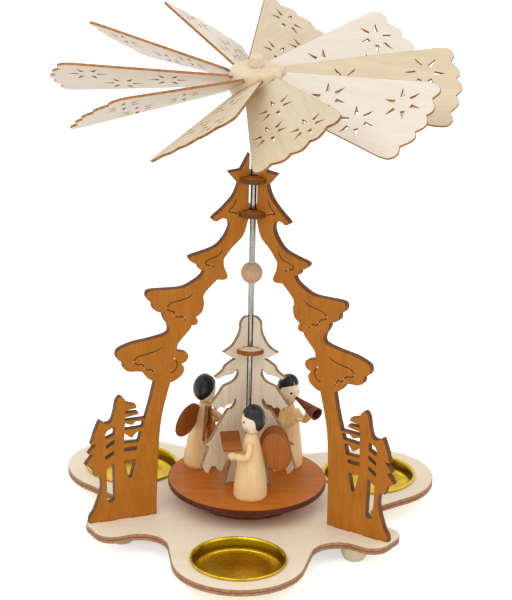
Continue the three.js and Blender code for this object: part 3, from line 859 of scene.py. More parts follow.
@dataclass(frozen=True)
class Lacquer:
    """Thick black gloss, slightly wavy, with brush marks down from the crown."""

    name: str = "black gloss lacquer"
    slot: str = "black_lacquer"
    deep: str = "0E0E10"
    worn: str = "1C1B1E"
    strokes: Triple = (1.4, 1.4, 0.3)
    stroke_marks: tuple[float, float] = (0.3, 0.7)
    relief: float = 0.1
    relief_depth: float = 0.15
    roughness: float = 0.3
    specular: float = 0.35
    coat: float = 0.12
    coat_roughness: float = 0.1

    def made(self) -> bpy.types.Material:
        """Build the material.

        Returns:
            The material.
        """
        bench = Bench(self.name)
        strokes = bench.noise(bench.stretched(bench.read("grain", vector=True), self.strokes), 1.0, 3.0)
        bench.paint(bench.blend(bench.ramp(strokes, self.stroke_marks), self.deep, self.worn))
        bench.relief(strokes, self.relief, self.relief_depth)
        dial(bench.shader, Roughness=self.roughness, Specular_IOR_Level=self.specular,
             Coat_Weight=self.coat, Coat_Roughness=self.coat_roughness)
        return bench.material


@dataclass(frozen=True)
class Metal:
    """Bright metal with fine drawn lines and a faint tarnish."""

    name: str
    slot: str
    bright: str
    dull: str
    roughness: float
    lines: Triple
    relief: float
    relief_depth: float = 0.03
    tarnish_scale: float = 0.12
    tarnish_marks: tuple[float, float] = (0.35, 0.68)
    roughness_shares: tuple[float, float] = (0.7, 1.4)
    # Colour of painted shade, laid where the mesh marks it
    shade: str = ""

    def made(self) -> bpy.types.Material:
        """Build the material: lines and tarnish by halves, and a painted shade colour where the mesh marks
        it.

        Returns:
            The material.
        """
        bench = Bench(self.name)
        place = bench.read("grain", vector=True)
        lines = bench.noise(bench.stretched(place, self.lines), 1.0, 3.0)
        tarnish = bench.noise(place, self.tarnish_scale, 3.0, 0.6)
        mixed = bench.ramp(bench.mean(lines, tarnish, 0.5), self.tarnish_marks)
        colour = bench.blend(mixed, self.bright, self.dull)
        if self.shade:
            colour = bench.blend(bench.read("burn_and_shade", vector=False), colour, self.shade)
        bench.paint(colour)
        bench.relief(lines, self.relief, self.relief_depth)
        dial(bench.shader, Metallic=1.0)
        low, high = (self.roughness * share for share in self.roughness_shares)
        bench.join(bench.spread(tarnish, low, high), bench.shader.inputs["Roughness"])
        return bench.material


class Finish(Enum):
    """Every finish on the object."""

    BARE_BOARD = Wood("bare pale plywood", "F6EBD4", "EFE0C4", "pale_plywood", burnt="9C7250",
                      scorched="B98E68", pore="C9AE88", figure=(0.05, 0.05, 0.012), cross_ply="86583C")
    BARE_BLADE = Wood("bare blade plywood", "EEE4D6", "E6DAC8", "blade_plywood", burnt="A06A3A",
                      scorched="BC8350", pore="DCCCB4", pore_share=0.2, figure=(0.06, 0.06, 0.014))
    # A darker, warmer copy of the blade wood: painted shade for the blades listed as warm
    SHADED_BLADE = Wood("blade plywood with painted shade", "E4D4B8", "D8C5A4", "blade_plywood", burnt="94602F",
                      scorched="B07A45", pore="CDB68E", pore_share=0.25, figure=(0.06, 0.06, 0.014))
    BARE_FIR = Wood("bare fir plywood", "E8D9C2", "D6C4A8", "fir_plywood", burnt="86664A",
                    scorched="A38260", pore="B49E80")
    FIR_TIE = Wood("fir tie plywood", "EADBC4", "DAC8AC", "fir_plywood", burnt="87481F",
                   scorched="95582C", pore="B49E80")
    STAINED_BOARD = Wood("brown stained plywood", "BC7420", "A86418", "stained_plywood", burnt="5E3410",
                         scorched="78481A", pore="8E5318", pore_share=0.3, roughness=0.5,
                         figure=(0.12, 0.12, 0.04))
    STAINED_PLATFORM = Wood("brown stained platform plywood", "C8741E", "B06014", "stained_plywood",
                            burnt="4A2312", scorched="5E2C18", pore="8A4A16", roughness=0.45)
    # Its burnt colour also paints shade on the book's far leaf
    STAINED_WOOD = Wood("brown stained wood", "AC6222", "985018", "stained_wood", burnt="7E4220",
                        scorched="8E4C24", pore="82461C", roughness=0.42, coat=0.15)
    # Its burnt colour also paints shade inside the horn's bell
    STAINED_DARK = Wood("dark brown stained wood", "84441A", "6E3410", "stained_wood", burnt="4A230D",
                        scorched="5A2C12", pore="4E240C", pore_share=0.5, roughness=0.45, coat=0.1)
    DARK_BOARD = Wood("dark brown stained plywood", "7A3C16", "66300E", "stained_plywood", burnt="6A3210",
                      scorched="7A3C16", pore="4E240C", pore_share=0.5, roughness=0.45, coat=0.1)
    GOLDEN = Wood("golden stained wood", "CF8F40", "B97428", "golden_wood", burnt="6E3D16",
                  scorched="84501F", pore="8E5218", roughness=0.4, coat=0.2)
    TURNED = Wood("pale turned wood", "EADBC0", "DEC8A6", "turned_wood", pore="C8A878", roughness=0.45,
                  fibre=(0.9, 0.9, 0.9), rings=5.5)
    ROBE = Wood("clear lacquered robe wood", "F2D29C", "E8C386", "robe_wood", pore="D8AE70",
                pore_share=0.12, roughness=0.4, coat=0.35, fibre=(0.8, 0.8, 0.04))
    BALL = Wood("drilled ball wood", "D3AE8E", "B98E6C", "ball_wood", pore="936A4A", roughness=0.5)
    SCORCH = Wood("scorched engraving", "5A2F10", "44210A", "stained_plywood", pore="2E1506",
                  roughness=0.75)
    FACE = DollFace()
    HAIR = Lacquer()
    # The brass's shade colour is painted shade on the cups' inner walls
    BRASS = Metal("bright brass", "brass", "ECCB34", "C8A41C", 0.25, (0.9, 0.9, 0.05), 0.06,
                  shade="8C6A08")
    STEEL = Metal("drawn steel", "steel", "B0ABA1", "827D73", 0.22, (2.2, 2.2, 0.03), 0.3)


def mesh_of(name: str, surface: Surface, points: np.ndarray, grain: np.ndarray) -> bpy.types.Mesh:
    """A mesh in metres that carries its grain and its marks of burnt edges and painted shade.

    Args:
        name: the mesh's name.
        surface: the faces and the marks of burnt edges and painted shade.
        points: the points where the piece stands.
        grain: the place in the wood's pattern of each point.

    Returns:
        The mesh.
    """
    mesh = bpy.data.meshes.new(name)
    mesh.from_pydata((points * MILLIMETRE).tolist(), [], surface.faces)
    place = mesh.attributes.new("grain", "FLOAT_VECTOR", "POINT")
    place.data.foreach_set("vector", grain.astype(np.float32).ravel())
    burn_and_shade = mesh.attributes.new("burn_and_shade", "FLOAT", "POINT")
    burn_and_shade.data.foreach_set("value", surface.burn_and_shade.astype(np.float32))
    return mesh


def linked(name: str, data: bpy.types.ID) -> bpy.types.Object:
    """A new object of the scene.

    Args:
        name: the object's name.
        data: its mesh, camera or lamp.

    Returns:
        The object.
    """
    made = bpy.data.objects.new(name, data)
    bpy.context.scene.collection.objects.link(made)
    return made


@dataclass
class Workshop:
    """Turns surfaces into finished objects and counts them."""

    materials: dict[Finish, bpy.types.Material] = field(default_factory=dict)
    count: int = 0
    stagger: Triple = (37.0, 11.0, 53.0)

    def material(self, finish: Finish) -> bpy.types.Material:
        """The material of a finish, made the first time it is asked for.

        Args:
            finish: the finish.

        Returns:
            The material.
        """
        if finish not in self.materials:
            self.materials[finish] = finish.value.made()
        return self.materials[finish]

    def put(self, name: str, surface: Surface, place: np.ndarray, finish: Finish, body: Body,
            nodes: tuple[str, ...] = (), crease: float = 35.0, along: Axis = Axis.Z,
            settle: Callable[[np.ndarray], np.ndarray] | None = None) -> bpy.types.Object:
        """Make one finished piece.

        The grain is the piece's own place, with its long axis as z, moved on by a step for each
        piece made so far, so that no two look alike. A face keeps its own place for its paint.

        Args:
            name: the piece's name.
            surface: its surface in its own frame.
            place: matrix from its own frame to the part's frame.
            finish: its finish.
            body: the body that it rides on.
            nodes: the solids that it stands for.
            crease: angle in degrees from which an edge looks sharp.
            along: the direction of its grain in its own frame.
            settle: last change to its points in the part's frame, if any.

        Returns:
            The object.
        """
        points = surface.moved(place).points
        if settle is not None:
            points = settle(points)
        grain = surface.points
        if finish is not Finish.FACE:
            order = {Axis.X: [2, 1, 0], Axis.Y: [0, 2, 1], Axis.Z: [0, 1, 2]}[along]
            grain = grain[:, order] + np.array(self.stagger) * self.count
        mesh = mesh_of(name, surface, points, grain)
        mesh.shade_smooth()
        mesh.set_sharp_from_angle(angle=math.radians(crease))
        mesh.materials.append(self.material(finish))
        piece = linked(name, mesh)
        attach(piece, body.value)
        if nodes:
            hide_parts(*nodes)
        self.count += 1
        log.info("%s: %d faces, %s, on the %s", name, len(surface.faces), finish.value.name, body.value)
        return piece


# The stand

ARM_AZIMUTHS = {"left": 204.7, "right": 329.8}


def eased_loop(corners: Pairs, reach: float, steps: int) -> np.ndarray:
    """A closed loop with every corner rounded, the last and the first too."""
    return loop(eased(np.array([*corners, *corners[:2]]), reach, steps)[1:-1])


@dataclass
class BaseBoard:
    """Three-lobed board with three foot lobes, its cups, feet and bearing cup."""

    thickness: float = 3.2
    cup_circle: float = 64.6
    lobe_radius: float = 30.2
    foot_reach: float = 79.2
    foot_half_width: float = 12.3
    foot_corner: float = 8.5
    fillet_reach: float = 66.5
    fillet_radius: float = 12.7
    corner_steps: int = 16
    lobe_steps: int = 64
    hole_radius: float = 21.1
    tenons: Pairs = ((48.8, 57.2), (64.8, 72.2))
    slot_half_width: float = 1.7
    pocket_radius: float = 4.2
    pocket_floor: float = 1.2
    edge_margins: tuple[float, float, float] = (0.5, 0.3, 0.12)
    edge_ease: float = 0.14
    plies: Pairs = ((0.62, 1.0), (0.57, 1.5), (0.43, 1.5), (0.38, 1.0))
    bearing_side: Pairs = ((4, 4.4), (3.4, 5.0), (1.4, 5.0), (0, 3.6))
    bearing_radius: float = 4.0
    cup_under: Pairs = ((0, -1.6), (19.0, -1.6), (20.1, -1.0), (20.6, 3.4))
    rim_centre: tuple[float, float] = (21.4, 4.0)
    rim_radius: float = 0.6
    cup_inside: Pairs = ((20.2, 3.6), (19.72, -0.45), (19.45, -0.62), (19.2, -0.55), (18.9, -0.75),
                         (18.5, -1.2))
    cup_floor: Pairs = ((14.0, -1.2), (0, -1.2))
    shaded_out: tuple[float, float] = (19.5, 20.5)
    shaded_up: tuple[float, float] = (-0.5, 3.7)
    foot_circle: float = 62.0
    foot_radius: float = 6.5
    foot_flat_share: float = 0.55
    foot_height: float = 8.0
    foot_swing: float = -4.0
    cups: tuple[tuple[str, float], ...] = (("front", -90.0), ("right", 30.0), ("left", 150.0))
    feet: tuple[tuple[str, float], ...] = (("left", 210.0), ("right", 330.0), ("back", 90.0))

    def outline(self) -> np.ndarray:
        """Lobes, fillets and foot lobes, as arcs that touch each other, three times round.

        A fillet touches the lobe where the line between their centres crosses both circles. Its
        heading from the lobe and the angle whose cosine is the radii's sum over that line's
        length give the arcs' ends.

        Returns:
            The loop.
        """
        lobe = np.array(spot(self.cup_circle, 60))
        fillet = np.array([self.fillet_reach, self.foot_half_width + self.fillet_radius])
        between = fillet - lobe
        heading = math.degrees(math.atan2(between[1], between[0]))
        reach = (self.lobe_radius + self.fillet_radius) / math.hypot(*between)
        start = heading + math.degrees(math.acos(reach))
        x, y = self.foot_reach - self.foot_corner, self.foot_half_width - self.foot_corner
        few = self.corner_steps
        sector = np.vstack([
            arc((fillet[0], -fillet[1]), self.fillet_radius, 180 - start, 90, few),
            arc((x, -y), self.foot_corner, -90, 0, few),
            arc((x, y), self.foot_corner, 0, 90, few),
            arc((fillet[0], fillet[1]), self.fillet_radius, -90, start - 180, few),
            arc((lobe[0], lobe[1]), self.lobe_radius, start, 120 - start, self.lobe_steps),
        ])
        return loop(*(swung(sector, azimuth) for azimuth in (90, 210, 330)))

    def slots(self) -> list[np.ndarray]:
        """The rectangular slots for the arms' tenons.

        Returns:
            A loop for each slot.
        """
        half = self.slot_half_width
        found = []
        for azimuth in ARM_AZIMUTHS.values():
            for start, end in self.tenons:
                corners = np.array([[start, -half], [end, -half], [end, half], [start, half]])
                found.append(swung(corners, azimuth))
        return found

    def edge(self) -> tuple[Step, ...]:
        """Burnt edge with a darker middle ply, from the upper margin down to the lower one.

        Returns:
            The steps.
        """
        top, ease = self.thickness, self.edge_ease
        margin, halo, rim = self.edge_margins
        upper = (Step(margin, top, 0.0), Step(halo, top, 0.3), Step(rim, top, 0.8))
        plies = tuple(Step(0.0, top * share, burn_and_shade) for share, burn_and_shade in self.plies)
        lower = (Step(0.0, ease, 1.0), Step(rim, 0.0, 0.8), Step(margin, 0.0, 0.0))
        return (*upper, Step(0.0, top - ease, 1.0), *plies, *lower)

    def board(self, shop: Workshop) -> None:
        """The board: through holes for cups and slots, and a blind pocket at the centre.

        Args:
            shop: where it is finished.
        """
        holes = [ring(spot(self.cup_circle, azimuth), self.hole_radius, 96) for _, azimuth in self.cups]
        pocket = (ring((0, 0), self.pocket_radius, 48), self.pocket_floor)
        surface = plate(self.outline(), holes + self.slots(), self.edge(), (pocket,))
        shop.put("lobed_board", surface, np.eye(4), Finish.BARE_BOARD, Body.STAND, ("base_board",),
                 along=Axis.X)

    def bearing(self, shop: Workshop) -> None:
        """Small brass cup that stands in the pocket and carries the shaft's point.

        Args:
            shop: where it is finished.
        """
        low = self.pocket_floor + SEAT
        corners = np.array([(0, low), (self.bearing_radius, low), *self.bearing_side])
        shop.put("bearing_cup", lathe(eased(corners, 0.25), 48), np.eye(4), Finish.BRASS, Body.STAND,
                 ("thrust_cup",))

    def cup_profile(self) -> np.ndarray:
        """Pressed cup with a rolled rim, a sloping wall, a stepped foot and a flat floor.

        Returns:
            The profile, from the axis below, round the rim and back to the axis inside.
        """
        rim = arc(self.rim_centre, self.rim_radius, -110, 160, 14)
        under = eased(np.vstack([self.cup_under, rim[:1]]), 0.4)
        return np.vstack([under, rim[1:], eased(np.array(self.cup_inside), 0.2), self.cup_floor])

    def tealight_cups(self, shop: Workshop) -> None:
        """The three brass cups, each with painted shade on its inner wall.

        Args:
            shop: where they are finished.
        """
        surface = lathe(self.cup_profile(), 128)
        out, height = surface.out(), surface.points[:, 2]
        near, far = self.shaded_out
        low, high = self.shaded_up
        # Painted shade: a band of the inner wall takes the darker brass colour, standing in for the darker
        # surroundings it reflects
        surface.burn_and_shade = np.where((out > near) & (out < far) & (height > low) & (height < high), 1.0, 0.0)
        for side, azimuth in self.cups:
            place = turn(Axis.Z, azimuth) @ shift(x=self.cup_circle)
            shop.put(f"brass_cup_{side}", surface, place, Finish.BRASS, Body.STAND,
                     (f"tealight_cup_{side}",), crease=50)

    def rest_feet(self, shop: Workshop) -> None:
        """Three small turned domes under the foot lobes, with flat bottoms.

        At the angle a, the radius is foot radius (share + (1 - share) sin a), with the height
        going down as cos a.

        Args:
            shop: where they are finished.
        """
        angle = np.linspace(0, np.pi / 2, 14)
        radius = self.foot_radius * (self.foot_flat_share + (1 - self.foot_flat_share) * np.sin(angle))
        height = -self.foot_height + self.foot_height * (1 - np.cos(angle))
        side = np.column_stack([radius, np.minimum(height, -SEAT)])
        profile = np.vstack([[[0, -self.foot_height]], side, [[0, -SEAT]]])
        for side_name, azimuth in self.feet:
            place = turn(Axis.Z, azimuth + self.foot_swing) @ shift(x=self.foot_circle)
            shop.put(f"dome_foot_{side_name}", lathe(profile, 48), place, Finish.TURNED, Body.STAND,
                     (f"rest_foot_{side_name}",))

    def build(self, shop: Workshop) -> None:
        """Build everything at the level of the board.

        Args:
            shop: where the pieces are finished.
        """
        self.board(shop)
        self.bearing(shop)
        self.tealight_cups(shop)
        self.rest_feet(shop)


@dataclass
class FrettedArms:
    """Two fretted panels, half fir and half star each, in radius and height above the board."""

    ply: float = 3.0
    lift: float = 3.3
    star_edge: Run = sharp((2.8, 171), (6.9, 163.7), (12.9, 163.3), (7.9, 157.1))
    tiers: tuple[Run, ...] = (
        smooth((7.9, 157.1), (10.1, 151.7), (14.8, 146.6), (19.9, 142.4), (20, 141.2), (18, 140.3)),
        smooth((18, 140.3), (15.4, 141.5), (13.4, 140.9), (12.1, 139.3)),
        smooth((12.1, 139.3), (12.1, 136.5), (14.7, 131.6), (19.3, 127.8), (30, 125.2), (31, 124.2),
               (30.2, 122.6), (26.6, 120.4)),
        smooth((26.6, 120.4), (26.2, 118.6), (23.8, 117.2)),
        smooth((23.8, 117.2), (25.2, 114.8), (29, 112.4), (35, 110.4), (48.8, 111), (51.3, 109.4),
               (50.8, 106.9), (48.3, 104.6)),
        smooth((48.3, 104.6), (48, 102), (45.7, 100.2), (43.2, 99.2)),
        smooth((43.2, 99.2), (42.8, 96.4), (40.6, 92.4), (41.4, 89), (49.2, 87.4), (57.8, 86.4),
               (64.2, 84.2), (65.4, 81.4), (64.4, 79.2), (62, 77.4)),
        smooth((62, 77.4), (61.6, 74.6), (59.2, 72.8), (55.4, 72.4), (52.6, 71.8)),
        smooth((52.6, 71.8), (50, 68.2), (46.8, 66.2)),
        smooth((46.8, 66.2), (48.8, 57.2), (51.1, 48.8)),
    )
    combs: Run = sharp((61, 48.9), (61, 50.4), (54.4, 51.2), (54.6, 52.4), (60.6, 52.6), (60.4, 53.8),
                       (55.4, 54.4), (55.6, 56))
    trees: tuple[Run, ...] = (
        smooth((60.2, 57.6), (61.6, 60.2), (63.4, 61), (65.2, 58.8), (66.2, 53.4), (67.6, 49.4),
               (70.2, 48.6)),
        smooth((73, 50.6), (74, 48.4), (75.6, 44.4), (76.2, 42)),
        sharp((77.2, 39.2), (74.9, 38.9), (76.4, 37.2), (78.4, 34.8), (76.2, 33.8), (79.8, 29.4),
              (76, 27.2), (75.2, 23.2), (72.6, 23.4)),
        smooth((72.1, 21.4), (72.1, 15.5), (75, 6.6), (77.2, 3), (77.6, 0)),
    )
    foot: Run = sharp((72, 0), (72, -3), (65, -3), (65, 0), (57, 0), (57, -3), (49, -3), (49, 0))
    inner: tuple[Run, ...] = (
        smooth((45, 0), (44.9, 17.1), (44.4, 33.1), (43.7, 43.5), (42.4, 52), (39.2, 64.8)),
        smooth((39.2, 64.8), (36.8, 65.4), (33.5, 67.8), (32.5, 70.8), (33.8, 73.2)),
        smooth((33.8, 73.2), (31.4, 74.4), (30.6, 76.8), (31.8, 78.6), (35.8, 79.8)),
        smooth((35.8, 79.8), (35.6, 83.4), (30.4, 89.2), (29.2, 91.4)),
        smooth((29.2, 91.4), (26.9, 91.6), (26.3, 93.4), (27.1, 95.2)),
        smooth((27.1, 95.2), (24.2, 97.6), (23.4, 101.6), (23.4, 106), (17.3, 112.2)),
        smooth((17.3, 112.2), (13.4, 111.8), (12.3, 113.6), (14, 118.2), (14.3, 121.8)),
        smooth((14.3, 121.8), (10.4, 126.8), (5.2, 132), (2.8, 139.6)),
        sharp((2.8, 141.5), (5, 141.5), (5, 144.1), (2.8, 144.1)),
        sharp((2.8, 157.8), (5, 157.8), (5, 160.4), (2.8, 160.4)),
    )
    gaps: tuple[Pairs, ...] = (
        ((60.9, 44.4), (60.9, 47.6), (57.4, 46.2), (55.6, 47.8), (51.6, 47.6), (52.4, 44.6)),
        ((61.2, 37.8), (61.1, 42.6), (57.6, 39.8), (55, 42.6), (53, 42.6), (54.2, 37.6)),
        ((61.3, 33.7), (61.2, 35.5), (54.8, 35.4), (55.2, 33.7)),
        ((61.1, 29), (55.5, 29), (57.5, 20.2), (58.7, 20.2)),
        ((69.9, 41), (70.4, 43.4), (69.1, 45.2), (65.9, 46.6), (65.9, 42.6)),
        ((69.9, 36.2), (69.9, 37.8), (65.9, 40.4), (65.9, 38.4)),
        ((70.2, 30.8), (70.2, 32.4), (66, 35), (66, 33)),
        ((69.1, 10.6), (69.6, 26), (66, 28.4), (65.4, 10.4), (66.4, 9.2), (68.2, 9.2)),
    )
    pins: Pairs = ((56.8, 77.3), (51.5, 73.9), (47.4, 70.6), (37.3, 76.3), (41.5, 101.6), (37.5, 97.7),
                   (33.4, 95.4), (20.4, 119.5))
    pin_radius: float = 0.55
    gap_ease: float = 0.5
    halo: float = 0.26
    engraving: tuple[Pairs, ...] = (
        ((8.7, 150.5), (10.1, 147.2), (12.5, 144.6), (10, 143.8), (8.1, 142.9)),
        ((14.9, 126.7), (17, 124), (21.4, 122.6), (23.2, 121.3), (22.1, 120), (20.4, 119.5), (18.4, 118.2)),
        ((28.5, 107.7), (30.9, 105.5), (34.8, 104.5), (39.2, 103.8), (41.5, 101.6), (40, 100.1),
         (38.2, 99.5), (37.5, 97.7), (35.9, 96.4), (34.2, 96.6), (33.4, 95.4), (32, 94)),
        ((42.9, 83.4), (45.3, 81.7), (50.2, 80.4), (55.1, 79.6), (56.8, 77.3), (55, 75.8), (53.1, 75.6),
         (51.5, 73.9), (50.3, 72.4), (48.4, 72.5), (47.4, 70.6), (46.3, 68.9)),
        ((37.3, 76.3), (35.9, 73.7), (36.5, 71.5), (37.8, 70), (39.7, 69.7)),
    )
    line_half_width: float = 0.26
    line_depth_share: float = 0.22
    line_end_share: float = 0.25
    line_taper: float = 12.0

    def outline(self) -> np.ndarray:
        """The whole outline, from the star down outside, round the tenons and up inside."""
        return drawn((self.star_edge, *self.tiers, self.combs, *self.trees, self.foot, *self.inner))

    def panel(self) -> Surface:
        """One panel, standing in the plane of x and z.

        Returns:
            The panel.
        """
        holes = [eased_loop(gap, self.gap_ease, 3) for gap in self.gaps]
        holes += [ring(pin, self.pin_radius, 16) for pin in self.pins]
        flat = plate(self.outline(), holes, sawn_edge(-self.ply / 2, self.ply / 2, self.halo))
        return flat.moved(turn(Axis.X, 90))

    def plugs(self) -> Surface:
        """Pale pins that fill the small round holes, flush with both faces.

        Returns:
            All the pins as one.
        """
        half, radius = self.ply / 2 + SEAT, self.pin_radius - SEAT
        pin = lathe(np.array([[0, -half], [radius, -half], [radius, half], [0, half]]), 20)
        row = [pin.moved(shift(x, height)) for x, height in self.pins]
        return row[0].joined(*row[1:]).moved(turn(Axis.X, 90))

    def engraved(self) -> Surface:
        """Burnt lines on both faces: flattened bars along each curve, sunk half way in.

        Returns:
            All the lines as one.
        """
        bars = []
        for line in self.engraving:
            curve = through(np.array(line, float), 8)
            rise = np.linspace(0, self.line_taper, len(curve))
            taper = np.clip(np.minimum(rise, rise[::-1]), self.line_end_share, 1.0)
            path = np.column_stack([curve, np.zeros(len(curve))])
            bar = tube(path, self.line_half_width * taper, Vector((0, 0, 1)), 8)
            bar.points[:, 2] *= self.line_depth_share
            bars += [bar.moved(shift(z=side * self.ply / 2)) for side in (-1, 1)]
        return bars[0].joined(*bars[1:]).moved(turn(Axis.X, 90))

    def build(self, shop: Workshop) -> None:
        """Build both panels, their engraving and their pins.

        Args:
            shop: where they are finished.
        """
        for side, azimuth in ARM_AZIMUTHS.items():
            place = turn(Axis.Z, azimuth) @ shift(z=self.lift)
            shop.put(f"fretted_arm_{side}", self.panel(), place, Finish.STAINED_BOARD, Body.STAND,
                     (f"arm_panel_{side}",))
            shop.put(f"arm_engraving_{side}", self.engraved(), place, Finish.SCORCH, Body.STAND)
            shop.put(f"arm_pins_{side}", self.plugs(), place, Finish.TURNED, Body.STAND)


@dataclass(frozen=True)
class LapDisc:
    """Small disc with slots, half-lapped on to upright panels."""

    radius: float
    thickness: float
    lap: float
    slot_half_width: float
    bore: float
    azimuths: tuple[float, ...]
    halo: float = 0.3

    def surface(self, low: float) -> Surface:
        """Circle broken by a slot at each azimuth, with a bore.

        Args:
            low: height of its lower face.

        Returns:
            The disc, level.
        """
        half = self.slot_half_width
        gap = math.degrees(math.asin(half / self.radius))
        mouth = math.sqrt(self.radius**2 - half**2)
        corners = np.array([[mouth, -half], [self.lap, -half], [self.lap, half], [mouth, half]])
        stretches = []
        for azimuth, after in zip(self.azimuths, (*self.azimuths[1:], self.azimuths[0] + 360)):
            stretches.append(swung(corners, azimuth))
            stretches.append(arc((0, 0), self.radius, azimuth + gap, after - gap, 40))
        edge = sawn_edge(low, low + self.thickness, self.halo)
        return plate(loop(*stretches), [ring((0, 0), self.bore, 40)], edge)


@dataclass
class NeckDiscs:
    """The two stained discs that tie the arms together at the top."""

    disc: LapDisc = LapDisc(radius=7.8, thickness=2.2, lap=4.8, slot_half_width=1.6, bore=2.0,
                            azimuths=tuple(ARM_AZIMUTHS.values()))
    places: tuple[tuple[str, str, float], ...] = (
        ("tie_disc_upper", "star_disc", 161.3),
        ("tie_disc_lower", "neck_disc", 145.0),
    )

    def build(self, shop: Workshop) -> None:
        """Build both discs.

        Args:
            shop: where they are finished.
        """
        for name, node, low in self.places:
            shop.put(name, self.disc.surface(low), np.eye(4), Finish.STAINED_BOARD, Body.STAND, (node,),
                     along=Axis.X)


# The rotor


@dataclass
class Needle:
    """Steel shaft with a pointed foot, and its ball."""

    radius: float = 1.5
    tip: float = 3.9
    point: float = 4.0
    rings: tuple[float, float] = (60.0, 120.0)
    top: float = 212.5
    ball_radius: float = 5.0
    ball_height: float = 116.3
    ball_clearance: float = 0.1

    def shaft(self, shop: Workshop) -> None:
        """The shaft: a needle with a cone for its foot.

        Args:
            shop: where it is finished.
        """
        heights = (self.tip + self.point, *self.rings, self.top)
        corners = [[0, self.tip], *([self.radius, height] for height in heights), [0, self.top]]
        shop.put("steel_needle", lathe(eased(np.array(corners), 0.3), 48), np.eye(4), Finish.STEEL,
                 Body.ROTOR, ("shaft",))

    def ball(self, shop: Workshop) -> None:
        """The ball: the arc (R sin a, -R cos a) from the bore's lower rim to its upper one.

        Args:
            shop: where it is finished.
        """
        start = math.asin((self.radius + self.ball_clearance) / self.ball_radius)
        angle = np.linspace(start, np.pi - start, 33)
        outside = np.column_stack([self.ball_radius * np.sin(angle), -self.ball_radius * np.cos(angle)])
        shop.put("drilled_ball", lathe(outside, 64), shift(z=self.ball_height), Finish.BALL, Body.ROTOR,
                 ("shaft_ball",))

    def build(self, shop: Workshop) -> None:
        """Build the shaft and the ball."""
        self.shaft(shop)
        self.ball(shop)


